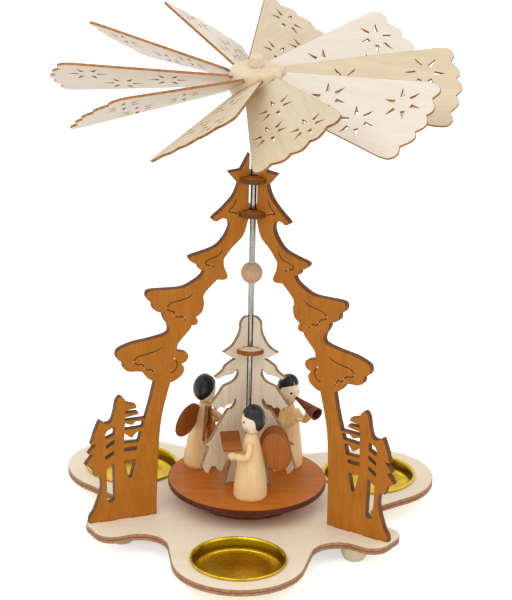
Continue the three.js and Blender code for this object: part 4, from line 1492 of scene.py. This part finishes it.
@dataclass
class BladeWheel:
    """Turned hub with ten slanted slots, ten scalloped blades with pierced stars, and a cap."""

    hub_radius: float = 11.8
    half_height: float = 7.0
    hub_bevel: float = 1.6
    hub_bore: float = 1.6
    centre: float = 207.7
    count: int = 10
    pitch: float = 33.0
    ply: float = 1.2
    halo: float = 0.2
    edge_ease: float = 0.07
    phase: float = -69.8
    # Blades that take the darker, warmer copy of the blade wood, as painted shade
    warm: tuple[int, ...] = (0, 2, 4, 9)
    settings: tuple[float, ...] = (-5.0, 0.0, -1.4, 3.3, 3.5, 0.0, -5.0, 0.0, 0.0, 0.0)
    tongue_half_width: float = 6.2
    slot_radius: float = 8.8
    slot_end: float = 20.0
    slot_clearance: float = 0.15
    root_gap: float = 0.2
    root_half_width: float = 8.6
    corner_reach: float = 84.6
    corner_half_width: float = 23.0
    corner_radius: float = 5.0
    corner_turns: Pairs = ((0.2, 1.2), (3.0, 4.5))
    outer_notch: tuple[float, float] = (1.6, 0.62)
    inner_notch: tuple[float, float] = (4.0, 0.21)
    bulges: tuple[float, float] = (2.6, 2.9)
    fullness: float = 0.45
    star_places: Pairs = ((39.0, 0.4), (59.2, -7.6), (74.6, 7.4))
    ray_inner: float = 4.3
    ray_outer: float = 9.3
    ray_half_width: float = 0.95
    cap_side: Pairs = ((0, -2), (1.5, -2), (1.5, SEAT), (3.25, SEAT), (3.25, 4.4), (2.45, 5.2), (0, 5.2))

    def frame(self, index: int) -> np.ndarray:
        """Matrix from a blade's own frame to the part's frame."""
        azimuth = self.phase + self.settings[index] + index * 360 / self.count
        return turn(Axis.Z, azimuth) @ shift(z=self.centre) @ turn(Axis.X, self.pitch)

    def rays(self, centre: tuple[float, float]) -> list[np.ndarray]:
        """Six narrow triangles round a star's centre.

        Args:
            centre: the star's centre on the blade.

        Returns:
            A loop for each ray.
        """
        half = self.ray_half_width
        kite = np.array([[self.ray_inner, -half], [self.ray_outer, 0], [self.ray_inner, half]])
        return [np.array(centre) + swung(kite, step * 60) for step in range(6)]

    def scallop(self, start: np.ndarray, end: np.ndarray, bulge: float) -> np.ndarray:
        """One rounded lobe between two notches.

        Args:
            start: the first notch.
            end: the next notch.
            bulge: how far the lobe's middle stands out.

        Returns:
            The curve's points.
        """
        middle = (start + end) / 2 + [bulge, 0]
        swell = bulge * self.fullness
        near = [(3 * start[0] + middle[0]) / 4 + swell, (3 * start[1] + end[1]) / 4]
        far = [(3 * end[0] + middle[0]) / 4 + swell, (3 * end[1] + start[1]) / 4]
        return through(np.array([start, near, middle, far, end]), 7)

    def outline(self) -> np.ndarray:
        """Tongue, straight flanks, rounded corners and three middle scallops.

        The flank's half width grows evenly from the root to the corner.

        Returns:
            The loop.
        """
        slope = (self.corner_half_width - self.root_half_width) / (self.corner_reach - self.hub_radius)
        shoulder, tongue = self.hub_radius + self.root_gap, self.slot_radius + self.root_gap
        flank = self.corner_reach - self.corner_radius
        flank_half = self.root_half_width + slope * (flank - self.hub_radius)
        far, wide = self.corner_reach, self.corner_half_width
        outer, inner = (np.array([far + reach, wide * share])
                        for reach, share in (self.outer_notch, self.inner_notch))
        turns = [[far + reach, wide - back] for reach, back in self.corner_turns]
        corner = np.array([[flank, flank_half], *turns, outer])
        root = np.array([[tongue, -self.tongue_half_width], [shoulder, -self.tongue_half_width],
                         [shoulder, -self.root_half_width]])
        side, middle = self.bulges
        flip = np.array([1, -1])
        return loop(
            root,
            through(corner * flip, 9),
            self.scallop(outer * flip, inner * flip, side),
            self.scallop(inner * flip, inner, middle),
            self.scallop(inner, outer, side),
            through(corner[::-1], 9),
            (root * flip)[::-1],
        )

    def blades(self, shop: Workshop) -> None:
        """The ten blades, four of them in a darker, warmer copy of the blade wood as painted shade.

        Args:
            shop: where they are finished.
        """
        holes = [ray for centre in self.star_places for ray in self.rays(centre)]
        edge = sawn_edge(-self.ply / 2, self.ply / 2, self.halo, self.edge_ease)
        surface = plate(self.outline(), holes, edge)
        for index in range(self.count):
            number = f"{index + 1:02d}"
            sheet = Finish.SHADED_BLADE if index in self.warm else Finish.BARE_BLADE
            shop.put(f"wheel_blade_{number}", surface, self.frame(index), sheet, Body.ROTOR,
                     (f"blade_{number}",), along=Axis.X)

    def slots(self) -> Surface:
        """Blocks that cut the hub's ten slanted slots.

        Returns:
            All the blocks as one, with burnt walls.
        """
        half, width = self.ply / 2 + self.slot_clearance, self.tongue_half_width + 2 * self.slot_clearance
        start, end = self.slot_radius, self.slot_end
        corners = np.array([[start, -width], [end, -width], [end, width], [start, width]])
        block = plate(corners, [], carved(half, (0, 0, 1)))
        blocks = [block.moved(self.frame(index)) for index in range(self.count)]
        return blocks[0].joined(*blocks[1:])

    def hub(self, shop: Workshop) -> None:
        """The hub, turned with eased rims and cut by the slots.

        Args:
            shop: where it is finished.
        """
        low, high = self.centre - self.half_height, self.centre + self.half_height
        radius, bevel, bore = self.hub_radius, self.hub_bevel, self.hub_bore
        side = [[bore, low], [radius - bevel, low], [radius, low + bevel], [radius, high - bevel],
                [radius - bevel, high], [bore, high]]
        hub = shop.put("slotted_hub", lathe(eased(np.array(side), 1.2, 5), 128), np.eye(4), Finish.TURNED,
                       Body.ROTOR, ("wheel_hub",))
        blocks = self.slots()
        cutter = linked("slot_blocks", mesh_of("slot_blocks", blocks, blocks.points, blocks.points))
        cut = hub.modifiers.new("slots", "BOOLEAN")
        cut.operation, cut.solver, cut.object, cut.use_self = "DIFFERENCE", "EXACT", cutter, True
        bpy.context.view_layer.update()
        whole = hub.evaluated_get(bpy.context.evaluated_depsgraph_get())
        cut_mesh = bpy.data.meshes.new_from_object(whole)
        hub.modifiers.clear()
        hub.data = cut_mesh
        bpy.data.objects.remove(cutter)

    def cap(self, shop: Workshop) -> None:
        """Small dowel cap on a peg in the hub's bore.

        Args:
            shop: where it is finished.
        """
        corners = np.array(self.cap_side) + [0, self.centre + self.half_height]
        shop.put("dowel_cap", lathe(eased(corners, 0.5), 56), np.eye(4), Finish.TURNED, Body.ROTOR,
                 ("hub_cap",))

    def build(self, shop: Workshop) -> None:
        """Build the wheel.

        Args:
            shop: where its pieces are finished.
        """
        self.blades(shop)
        self.hub(shop)
        self.cap(shop)


@dataclass
class Platform:
    """Round stained platform and the darker disc glued under it."""

    radius: float = 36.5
    top: float = 14.2
    thickness: float = 3.0
    bevel: float = 0.6
    glue_gap: float = 0.2
    boss_radius: float = 24.5
    boss_thickness: float = 7.2
    boss_bevel: float = 0.8
    recess_radius: float = 5.0
    recess_depth: float = 2.0
    bore: float = 1.65
    burn_margin: float = 0.9
    burn_fade: float = 0.6
    face_burn: float = 0.6

    def rounded(self, radius: float, low: float, high: float, bevel: float, recess: float = 0.0) -> Surface:
        """Disc with a chamfer below, a small easing above, a burnt rim, and a recess round its bore.

        Args:
            radius: the disc's radius.
            low: height of its lower face.
            high: height of its upper face.
            bevel: size of the chamfer.
            recess: depth of the recess in its lower face, or 0 for none.

        Returns:
            The disc.
        """
        corners = [[self.bore, low + recess]]
        if recess:
            corners += [[self.recess_radius, low + recess], [self.recess_radius, low]]
        corners += [[radius - bevel, low], [radius, low + bevel], [radius, high - 0.15]]
        corners += [[radius - 0.2, high], [radius - 0.8, high], [self.bore, high]]
        surface = lathe(eased(np.array(corners), 0.12, 2), 144)
        wall = np.clip((surface.out() - radius + self.burn_margin) / self.burn_fade, 0, 1)
        surface.burn_and_shade = wall * np.where(surface.points[:, 2] > high - 0.05, self.face_burn, 1.0)
        return surface

    def build(self, shop: Workshop) -> None:
        """Build the platform and its boss.

        Args:
            shop: where they are finished.
        """
        low = self.top - self.thickness
        platform = self.rounded(self.radius, low, self.top, self.bevel)
        shop.put("round_platform", platform, np.eye(4), Finish.STAINED_PLATFORM, Body.ROTOR,
                 ("carousel_disc",), along=Axis.X)
        high = low - self.glue_gap
        boss = self.rounded(self.boss_radius, high - self.boss_thickness, high, self.boss_bevel,
                            self.recess_depth)
        shop.put("under_disc", boss, np.eye(4), Finish.DARK_BOARD, Body.ROTOR, ("carousel_boss",),
                 along=Axis.X)


@dataclass
class FirTree:
    """Three half firs round the shaft, in radius and height above the board, and their tie disc."""

    ply: float = 2.0
    lift: float = 3.2
    halo: float = 0.24
    tie: LapDisc = LapDisc(radius=7.7, thickness=2.2, lap=4.4, slot_half_width=1.1, bore=1.8,
                           azimuths=(94.5, 214.5, 334.5))
    runs: tuple[Run, ...] = (
        smooth((1.8, 92.4), (3.9, 91.9), (5.5, 90), (5.8, 86.6), (6.7, 83.8), (9.8, 79.4), (14.7, 77)),
        smooth((14.7, 77), (11.4, 74.6), (8.2, 72.6)),
        smooth((8.2, 72.6), (10.2, 71.8), (13.4, 70.2), (14.9, 67.9), (18.8, 65.7)),
        smooth((18.8, 65.7), (17.4, 64.6), (13.6, 65.4), (9.4, 65.4), (7.2, 67.4)),
        smooth((7.2, 67.4), (6.5, 64.6), (9, 61.6), (14, 60.2), (16.6, 57), (21.4, 52)),
        sharp((21.4, 52), (18.6, 50.6), (17.8, 49), (15.6, 50.4), (13.6, 49.2), (12.2, 50.6), (9.6, 50.4)),
        smooth((9.6, 50.4), (7.8, 53), (7.6, 50.6), (9.4, 48.4), (11.4, 48.2)),
        smooth((11.4, 48.2), (13.2, 46), (16.6, 41), (20.6, 34.8), (23.9, 33.4)),
        sharp((23.9, 33.4), (21.6, 31.6), (23, 27.4), (25, 22.4), (23.2, 19), (21.6, 18), (20, 21.2)),
        sharp((18, 21), (16.4, 18.4), (14.2, 17.6), (12.8, 21.2)),
        smooth((12.8, 21.2), (11, 22.6), (9.6, 20.8), (10.8, 16.4), (12.2, 11.05)),
        sharp((1.8, 11.05), (1.8, 75), (4.6, 75), (4.6, 77.6), (1.8, 77.6)),
    )
    tie_low: float = 78.4

    def build(self, shop: Workshop) -> None:
        """Build the three halves and the disc that ties them.

        Args:
            shop: where they are finished.
        """
        edge = sawn_edge(-self.ply / 2, self.ply / 2, self.halo)
        surface = plate(drawn(self.runs), [], edge).moved(turn(Axis.X, 90))
        for index, azimuth in enumerate(self.tie.azimuths, start=1):
            place = turn(Axis.Z, azimuth) @ shift(z=self.lift)
            shop.put(f"half_fir_{index}", surface, place, Finish.BARE_FIR, Body.ROTOR,
                     (f"fir_panel_{index}",))
        shop.put("fir_tie_disc", self.tie.surface(self.tie_low), np.eye(4), Finish.FIR_TIE, Body.ROTOR,
                 ("fir_ring",), along=Axis.X)


# The figures, which face +x in their own frame and stand on z = 0

# Shoulder, elbow and hand of each arm
SLEEVES = {
    Held.BOOK: (
        ((1, -3.4, 27.4), (3.4, -6.6, 23), (9.6, -4.6, 25.4)),
        ((1, 3.4, 27.4), (3, 6.4, 22), (9.4, 5, 22.6)),
    ),
    Held.FIDDLE: (
        ((1.2, -3.2, 27.6), (4.6, -6.4, 24.6), (5.4, -8, 19.6)),
        ((1, 3.4, 27.4), (4.2, 6, 22.6), (8.6, 1, 20.6)),
    ),
    Held.HORN: (
        ((1, -3.4, 27.4), (4, -6.2, 22.4), (11.6, -3.4, 28.6)),
        ((1, 3.4, 27.4), (4, 6.2, 22.4), (11.6, 3, 28.6)),
    ),
}


def rounded_slab(length: float, width: float, thickness: float, ease: float) -> Surface:
    """Small block with rounded corners and eased rims, centred on its own middle.

    Args:
        length: size along x.
        width: size along y.
        thickness: size along z.
        ease: how far its corners are rounded.

    Returns:
        The block.
    """
    x, y = length / 2, width / 2
    outline = eased_loop(((-x, -y), (x, -y), (x, y), (-x, y)), ease, 4)
    edge = carved(thickness / 2, (ease * 1.2, 0, 0.0), (ease * 0.4, 0, 0.5), (0.0, ease * 0.4, 0.6))
    return plate(outline, [], edge)


@dataclass
class Wing:
    """Where a wing leaves the back, which way it points, and how far its oval leans."""

    root: float
    heading: float
    droop: float = 7.0


@dataclass
class Figure:
    """A turned figure with wings, lacquered hair and something in its hands."""

    name: str
    radius: float
    azimuth: float
    facing: float
    lean: float
    wing_rise: float
    held: Held
    wings: tuple[Wing, Wing]
    hairline: Pairs
    floor: float = 14.22
    stand: float = 14.4
    lean_azimuth: float = 2.5
    robe_radius: float = 7.7
    robe_side: Pairs = ((1.0, 1.6), (0.985, 5.2), (0.92, 9.6), (0.86, 13.6), (0.78, 17.4), (0.67, 21.6),
                        (0.56, 25.4), (0.47, 27.9), (0.4, 29.0))
    robe_neck: Pairs = ((2.7, 30.2), (2.3, 31.4))
    robe_hem: Pairs = ((0.55, -1.0), (0.5, 0.0), (0.16, 0.3), (0.0, 0.9))
    head_radius: float = 4.7
    head_half_height: float = 6.3
    head_centre: float = 37.3
    neck_cut: float = 5.84
    hair_radii: Triple = (5.3, 5.4, 6.9)
    hair_centre: Triple = (-1.0, 0.0, 0.9)
    hair_coat: float = 0.08
    hair_sunk: float = 0.3
    lobe_height: float = 0.09
    parting_depth: float = 0.10
    parting_width: float = 0.1
    sleeve_radius: float = 1.6
    hand_radius: float = 2.1
    wing_length: float = 14.0
    wing_height: float = 19.0
    wing_root: float = 5.0
    wing_ply: float = 1.2
    wing_centre: float = 21.8

    def place(self) -> np.ndarray:
        """Matrix from the figure's own frame to the part's frame.

        Returns:
            The matrix: the figure is turned to its facing, leant, and set on its spot.
        """
        towards = math.radians(self.lean_azimuth)
        axis = Vector((-math.sin(towards), math.cos(towards), 0))
        standing = shift(*spot(self.radius, self.azimuth), self.stand)
        return standing @ tip(axis, self.lean) @ turn(Axis.Z, self.facing)

    def on_floor(self, points: np.ndarray) -> np.ndarray:
        """Points below the platform's top brought up to it."""
        return np.column_stack([points[:, :2], np.maximum(points[:, 2], self.floor)])

    def add(self, shop: Workshop, piece: str, node: str, surface: Surface, finish: Finish,
            own: np.ndarray | None = None, **choices: object) -> None:
        """Put one piece of the figure on the platform.

        Args:
            shop: where it is finished.
            piece: the piece's name.
            node: what the solid's name says after the figure's.
            surface: its surface.
            finish: its finish.
            own: matrix from the surface's frame to the figure's, if they differ.
            choices: its crease, its grain's direction and its settling, where they aren't the usual.
        """
        place = self.place() if own is None else self.place() @ own
        shop.put(f"{self.name}.{piece}", surface, place, finish, Body.ROTOR, (f"{self.name}_{node}",),
                 **choices)

    def robe(self, shop: Workshop) -> None:
        """Bell-shaped robe, turned, with a soft hem and a narrow neck.

        Args:
            shop: where it is finished.
        """
        radius = self.robe_radius
        side = [(radius * share, height) for share, height in self.robe_side]
        hem = [(radius - inward, height) for inward, height in self.robe_hem]
        upper = through(np.array([*side, *self.robe_neck]), 4)
        profile = np.vstack([[(0, hem[0][1])], hem, upper, [(0, self.robe_neck[-1][1])]])
        self.add(shop, "gown", "robe", lathe(profile, 96), Finish.ROBE, settle=self.on_floor)

    def head(self, shop: Workshop) -> None:
        """Egg-shaped head: (R sin a, -H cos a), flat where it meets the neck.

        Args:
            shop: where it is finished.
        """
        half = self.head_half_height
        angle = np.linspace(math.acos(self.neck_cut / half), np.pi, 40)[:-1]
        radius, height = self.head_radius * np.sin(angle), -half * np.cos(angle)
        profile = np.vstack([[[0, height[0]]], np.column_stack([radius, height]), [[0, half]]])
        self.add(shop, "face", "head", lathe(profile, 72), Finish.FACE, shift(z=self.head_centre))

    def hair(self, shop: Workshop) -> None:
        """Cap of hair: two lobes with a parting in front, down to its hairline all round.

        The outside is the ellipsoid c + (rx sin p cos a, ry sin p sin a, rz cos p), with its centre
        c set back and up. p runs from the crown to the hairline, where cos p = (z(a) - cz) / rz.
        Measured against the skin as |q|, with q the point divided by the head's radii, it is kept
        at least a coat's thickness above 1, swells in the lobes, sinks at the parting, and rounds
        off at the hairline. The inside is the same direction just under the skin.

        Args:
            shop: where it is finished.
        """
        around, down = 120, 28
        azimuth = np.arange(around) * 2 * np.pi / around
        share = np.linspace(0, 1, down + 1)[1:, None]
        line = np.array(self.hairline)
        turned = np.degrees(np.minimum(azimuth, 2 * np.pi - azimuth))
        ends = np.interp(turned, line[:, 0], line[:, 1])
        radii, centre = np.array(self.hair_radii), np.array(self.hair_centre)
        polar = share * np.arccos(np.clip((ends - centre[2]) / radii[2], -0.995, 0.995))[None, :]
        level, upright = np.sin(polar), np.cos(polar)
        unit = np.stack([level * np.cos(azimuth), level * np.sin(azimuth), upright], -1)
        skin = np.array([self.head_radius, self.head_radius, self.head_half_height])
        q = (centre + unit * radii) / skin
        reach = np.linalg.norm(q, axis=-1, keepdims=True)
        direction = q / reach
        forward = np.clip(direction[..., :1] + 0.35, 0, 1)
        sideways = np.abs(direction[..., 1:2])
        lobe = self.lobe_height * forward * np.sin(np.pi * np.clip(sideways * 1.25, 0, 1))
        parting = self.parting_depth * forward * np.exp(-((sideways / self.parting_width) ** 2))
        rounding = np.sqrt(np.clip(1 - share[..., None] ** 8, 0, 1))
        swell = np.maximum(reach, 1 + self.hair_coat) - 1 + lobe - parting
        outside = direction * (1 + swell * rounding) * skin
        inside = (direction * (skin - self.hair_sunk))[::-1]
        middle = outside[0].mean(axis=0) + [0, 0, 0.05]
        under = middle / np.linalg.norm(middle / skin) * (1 - self.hair_sunk / skin[2])
        points = np.vstack([np.concatenate([outside, inside]).reshape(-1, 3), middle, under])
        crown, root = len(points) - 2, len(points) - 1
        faces = as_faces(strips(2 * down, around)[:, ::-1])
        faces += fan(0, around, crown, onward=True)
        faces += fan((2 * down - 1) * around, around, root, onward=False)
        surface = Surface(points, faces, np.zeros(len(points)))
        self.add(shop, "cap_of_hair", "hair", surface, Finish.HAIR, shift(z=self.head_centre), crease=60)

    def sleeve(self, joints: tuple[Triple, ...]) -> Surface:
        """One arm: a sleeve that widens a little, and a round hand, with rings closer at the hand.

        The hand's radius is R sqrt(1 - ((b - R) / R)^2) at the distance b back from its tip. The
        sleeve's grows evenly along the arm and ends at the cuff.

        Args:
            joints: shoulder, elbow and hand.

        Returns:
            The arm.
        """
        hand_radius = self.hand_radius
        path = through(np.array(joints, float), 18)
        ending = path[-1] - path[-2]
        path = np.vstack([path, path[-1] + ending / np.linalg.norm(ending) * hand_radius])
        length = np.concatenate([[0], np.cumsum(np.linalg.norm(np.diff(path, axis=0), axis=1))])
        arm = np.linspace(0, length[-1] - 2 * hand_radius, 30, endpoint=False)
        closing = length[-1] - hand_radius * (1 + np.cos(np.linspace(0, np.pi, 18)))
        stops = np.concatenate([arm, closing])
        path = np.column_stack([np.interp(stops, length, axis) for axis in path.T])
        back = length[-1] - stops
        hand = hand_radius * np.sqrt(np.clip(1 - ((back - hand_radius) / hand_radius) ** 2, 0, 1))
        sleeve = self.sleeve_radius * (0.9 + 0.32 * np.clip(stops / length[-1], 0, 1))
        cuff = np.clip((back - 1.8 * hand_radius) / 0.4, 0, 1)
        wrist = self.sleeve_radius * (back > hand_radius)
        radius = np.maximum(np.maximum(hand, sleeve * cuff), wrist)
        radius[0], radius[-1] = 0.6, 0.05
        return tube(path, radius, Vector((0.25, 0, 1)), 28)

    def sleeves(self, shop: Workshop) -> None:
        """Both arms, as what is held needs them."""
        for index, joints in enumerate(SLEEVES[self.held], start=1):
            self.add(shop, f"sleeve_{index}", f"arm_{index}", self.sleeve(joints), Finish.ROBE, crease=60)

    def wing_pair(self, shop: Workshop) -> None:
        """Oval wings (L cos a, H sin a), with a rim line and a slightly raised middle on both faces.

        Args:
            shop: where they are finished.
        """
        angle = np.arange(80) * 2 * np.pi / 80
        x, y = self.wing_length / 2 * np.cos(angle), self.wing_height / 2 * np.sin(angle)
        edge = carved(self.wing_ply / 2, (2.2, 0, 0.0), (0.75, 0.03, 0.05), (0.62, 0.1, 0.6),
                      (0.48, 0.03, 0.3), (0.14, 0.03, 0.7), (0.0, 0.2, 1.0))
        flat = plate(np.stack([x, y], 1), [], edge)
        for index, wing in enumerate(self.wings, start=1):
            root = shift(*spot(self.wing_root, wing.root - self.facing))
            middle = shift(self.wing_length / 2, 0, self.wing_centre + self.wing_rise)
            own = root @ turn(Axis.Z, wing.heading - self.facing) @ middle
            leaning = flat.moved(turn(Axis.X, 90) @ turn(Axis.Z, wing.droop))
            self.add(shop, f"oval_wing_{index}", f"wing_{index}", leaning, Finish.STAINED_WOOD, own)

    def book(self, shop: Workshop) -> None:
        """Open book: two thick leaves, the far one darkened with painted shade.

        Args:
            shop: where it is finished.
        """
        leaf, outward = rounded_slab(8.8, 6.2, 1.1, 0.35), 2.976
        near, far = (leaf.moved(turn(Axis.X, slope) @ shift(y=side * outward))
                     for side, slope in ((1, -16), (-1, -30)))
        # Painted shade: the far leaf takes the dark burnt colour all over
        far.burn_and_shade = np.maximum(far.burn_and_shade, 0.85)
        self.add(shop, "open_book", "book", far.joined(near), Finish.STAINED_WOOD, shift(9.4, 0, 27.1),
                 along=Axis.X)

    def fiddle(self, shop: Workshop) -> None:
        """Fiddle: a waisted body with a raised edge, a neck, a finger board, a bridge and a tailpiece.

        Args:
            shop: where it is finished.
        """
        spacing, lower, upper, half = 5.2, 3.3, 2.6, 0.9
        outline = loop(arc((0, 0), lower, 38, 322, 44), arc((spacing, 0), upper, -130, 130, 36))
        edge = carved(half, (1.0, -0.12, 0.0), (0.5, 0, 0.0), (0.22, 0, 0.7), (0.0, 0.15, 0.5))
        body = plate(outline, [], edge).moved(shift(x=-spacing / 2))
        start = spacing / 2 + upper - 1
        slabs = (
            ((8, 1.3, 1.0, 0.3), (start + 4, 0, 0)),
            ((9.4, 0.9, 0.3, 0.1), (start + 2.6, 0, half + 0.18)),
            ((0.4, 2.2, 0.7, 0.1), (-1.2, 0, half + 0.3)),
            ((2.4, 1.0, 0.3, 0.1), (-3.6, 0, half + 0.2)),
        )
        fittings = [rounded_slab(*size).moved(shift(*place)) for size, place in slabs]
        own = shift(-0.8, -7.6, 19.2) @ turn(Axis.X, -12) @ turn(Axis.Z, -70) @ turn(Axis.Y, -90)
        self.add(shop, "waisted_fiddle", "fiddle", body.joined(*fittings), Finish.GOLDEN, own, along=Axis.X)

    def horn(self, shop: Workshop) -> None:
        """Straight horn whose wall flares to a hollow bell, with painted shade inside it.

        Args:
            shop: where it is finished.
        """
        length, bell, throat, middle, mouth = 15.5, 3.2, 2.7, 1.9, 0.9
        outside = through(np.array([[mouth, 0.15], [mouth * 1.5, length * 0.25], [middle, length * 0.46],
                                    [throat, length * 0.8], [bell, length]]), 6)
        lip = [[bell - 0.25, length + 0.02], [bell - 0.8, length - 0.1]]
        inside = [[bell * 0.44, length * 0.78], [0.5, length * 0.68], [0, length * 0.66]]
        surface = lathe(np.vstack([[[0, 0]], [[mouth * 0.8, 0]], outside, lip, inside]), 48)
        # Painted shade: the inside of the bell takes the dark burnt colour
        hollow = (surface.points[:, 2] > length * 0.7) & (surface.out() < bell - 0.5)
        surface.burn_and_shade = np.where(hollow, 1.0, 0.0)
        self.add(shop, "flared_horn", "horn", surface, Finish.STAINED_DARK,
                 shift(5.3, 0, 35.4) @ turn(Axis.Y, 99))

    def build(self, shop: Workshop) -> None:
        """Build the figure and what it holds.

        Args:
            shop: where its pieces are finished.
        """
        self.robe(shop)
        self.head(shop)
        self.hair(shop)
        self.sleeves(shop)
        self.wing_pair(shop)
        {Held.BOOK: self.book, Held.FIDDLE: self.fiddle, Held.HORN: self.horn}[self.held](shop)


@dataclass
class Choir:
    """The three figures on the platform."""

    figures: tuple[Figure, ...] = (
        Figure("reader", 19.9, -82.7, 192.5, 0.0, 1.5, Held.BOOK, (Wing(3, 344), Wing(43, 21)),
               ((0, 3.9), (20, 3.0), (49, 2.9), (78, 2.3), (88, 0.9), (95, -3.2), (130, -5.2),
                (180, -5.9))),
        Figure("fiddler", 26.8, 148.5, 42.5, 3.4, 3.5, Held.FIDDLE,
               (Wing(226.5, 240, 70), Wing(281, 272, 70)),
               ((0, 3.7), (40, 3.1), (75, 1.2), (105, -2.2), (140, -4.6), (180, -5.4))),
        Figure("hornist", 24.0, 44.3, 310.5, 1.4, 0.0, Held.HORN, (Wing(118, 98.5), Wing(143, 158.5)),
               ((0, 3.9), (39, 3.7), (79, 2.9), (105, 0.4), (140, -3.4), (180, -5.0))),
    )

    def build(self, shop: Workshop) -> None:
        """Build each figure."""
        for figure in self.figures:
            figure.build(shop)


# Studio


@dataclass
class Studio:
    """Camera, pale floor, even sky and two large soft lamps."""

    eye: Triple = (0.0700, -1.5524, 0.7333)
    heading: float = 2.5
    dip: float = 22.08
    roll: float = 1.37
    lens: float = 221.52
    film: float = 36.0
    sight: tuple[float, float] = (0.05, 20.0)
    floor: float = -0.008
    floor_half: float = 3.0
    floor_colour: Triple = (0.9, 0.9, 0.9)
    floor_lift: float = 0.5
    sky: float = 0.88
    aim: Triple = (0, 0, 0.08)
    lamps: tuple[tuple[Triple, float, float], ...] = (
        ((-0.7, -1.1, 1.5), 1.3, 7.0),
        ((0.9, -0.5, 1.3), 1.0, 2.0),
    )

    def camera(self) -> None:
        """The camera: its axes are the heading and dip, then the roll about the view."""
        side, down, roll = (math.radians(angle) for angle in (self.heading, self.dip, self.roll))
        level = math.cos(down)
        forward = Vector((-math.sin(side) * level, math.cos(side) * level, -math.sin(down)))
        right = Vector((math.cos(side), math.sin(side), 0))
        up = right.cross(forward)
        across = math.cos(roll) * right + math.sin(roll) * up
        upward = -math.sin(roll) * right + math.cos(roll) * up
        data = bpy.data.cameras.new("camera")
        data.lens, data.sensor_width = self.lens, self.film
        data.clip_start, data.clip_end = self.sight
        camera = linked("camera", data)
        rows = zip(across, upward, -forward, self.eye)
        camera.matrix_world = Matrix((*rows, (0, 0, 0, 1)))
        bpy.context.scene.camera = camera

    def sky_light(self) -> None:
        """Even light all round, and plain white where it is seen or mirrored."""
        world = bpy.data.worlds.new("sky")
        bpy.context.scene.world = world
        world.use_nodes = True
        world.node_tree.nodes.clear()
        nodes = Nodes(world.node_tree)
        path = nodes.node("ShaderNodeLightPath").outputs
        mirrored = nodes.sums("MAXIMUM", path["Is Glossy Ray"], path["Is Transmission Ray"])
        seen = nodes.sums("MAXIMUM", path["Is Camera Ray"], mirrored)
        light = nodes.node("ShaderNodeBackground")
        dial(light, Color=(1, 1, 1, 1))
        nodes.join(nodes.spread(seen, self.sky, 1.0), light.inputs["Strength"])
        out = nodes.node("ShaderNodeOutputWorld")
        nodes.join(light.outputs["Background"], out.inputs["Surface"])

    def lights(self) -> None:
        """Soft lamps, each turned to the middle of the object."""
        for index, (where, size, power) in enumerate(self.lamps, start=1):
            data = bpy.data.lights.new(f"soft_lamp_{index}", "AREA")
            data.energy, data.size = power, size
            lamp = linked(f"soft_lamp_{index}", data)
            lamp.location = where
            aim = Vector(self.aim) - Vector(where)
            lamp.rotation_euler = aim.to_track_quat("-Z", "Y").to_euler()

    def ground(self) -> None:
        """Pale floor that keeps the shadow and looks white round it."""
        half, level = self.floor_half, self.floor
        mesh = bpy.data.meshes.new("floor")
        corners = [(-half, -half, level), (half, -half, level), (half, half, level), (-half, half, level)]
        mesh.from_pydata(corners, [], [(0, 1, 2, 3)])
        bench = Bench("pale floor")
        path = bench.node("ShaderNodeLightPath").outputs
        seen = bench.sums("MAXIMUM", path["Is Camera Ray"], path["Is Glossy Ray"])
        lift = bench.sums("MULTIPLY", seen, self.floor_lift)
        bench.join(lift, bench.shader.inputs["Emission Strength"])
        dial(bench.shader, Base_Color=(*self.floor_colour, 1), Roughness=0.9, Specular_IOR_Level=0.0,
             Emission_Color=(1, 1, 1, 1))
        mesh.materials.append(bench.material)
        floor = linked("floor", mesh)

    def build(self) -> None:
        """Set the studio up."""
        bpy.context.scene.view_settings.view_transform = "Standard"
        self.camera()
        self.sky_light()
        self.lights()
        self.ground()


def main() -> None:
    """Load the frame, set up the studio, build each sub-assembly and keep the sizes."""
    logging.basicConfig(level=logging.INFO, format="%(message)s")
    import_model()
    Studio().build()
    shop = Workshop()
    stand = (BaseBoard(), FrettedArms(), NeckDiscs())
    rotor = (Needle(), BladeWheel(), Platform(), FirTree(), Choir())
    for part in (*stand, *rotor):
        part.build(shop)
    log.info("%d pieces made", shop.count)


if __name__ == "__main__":
    main()
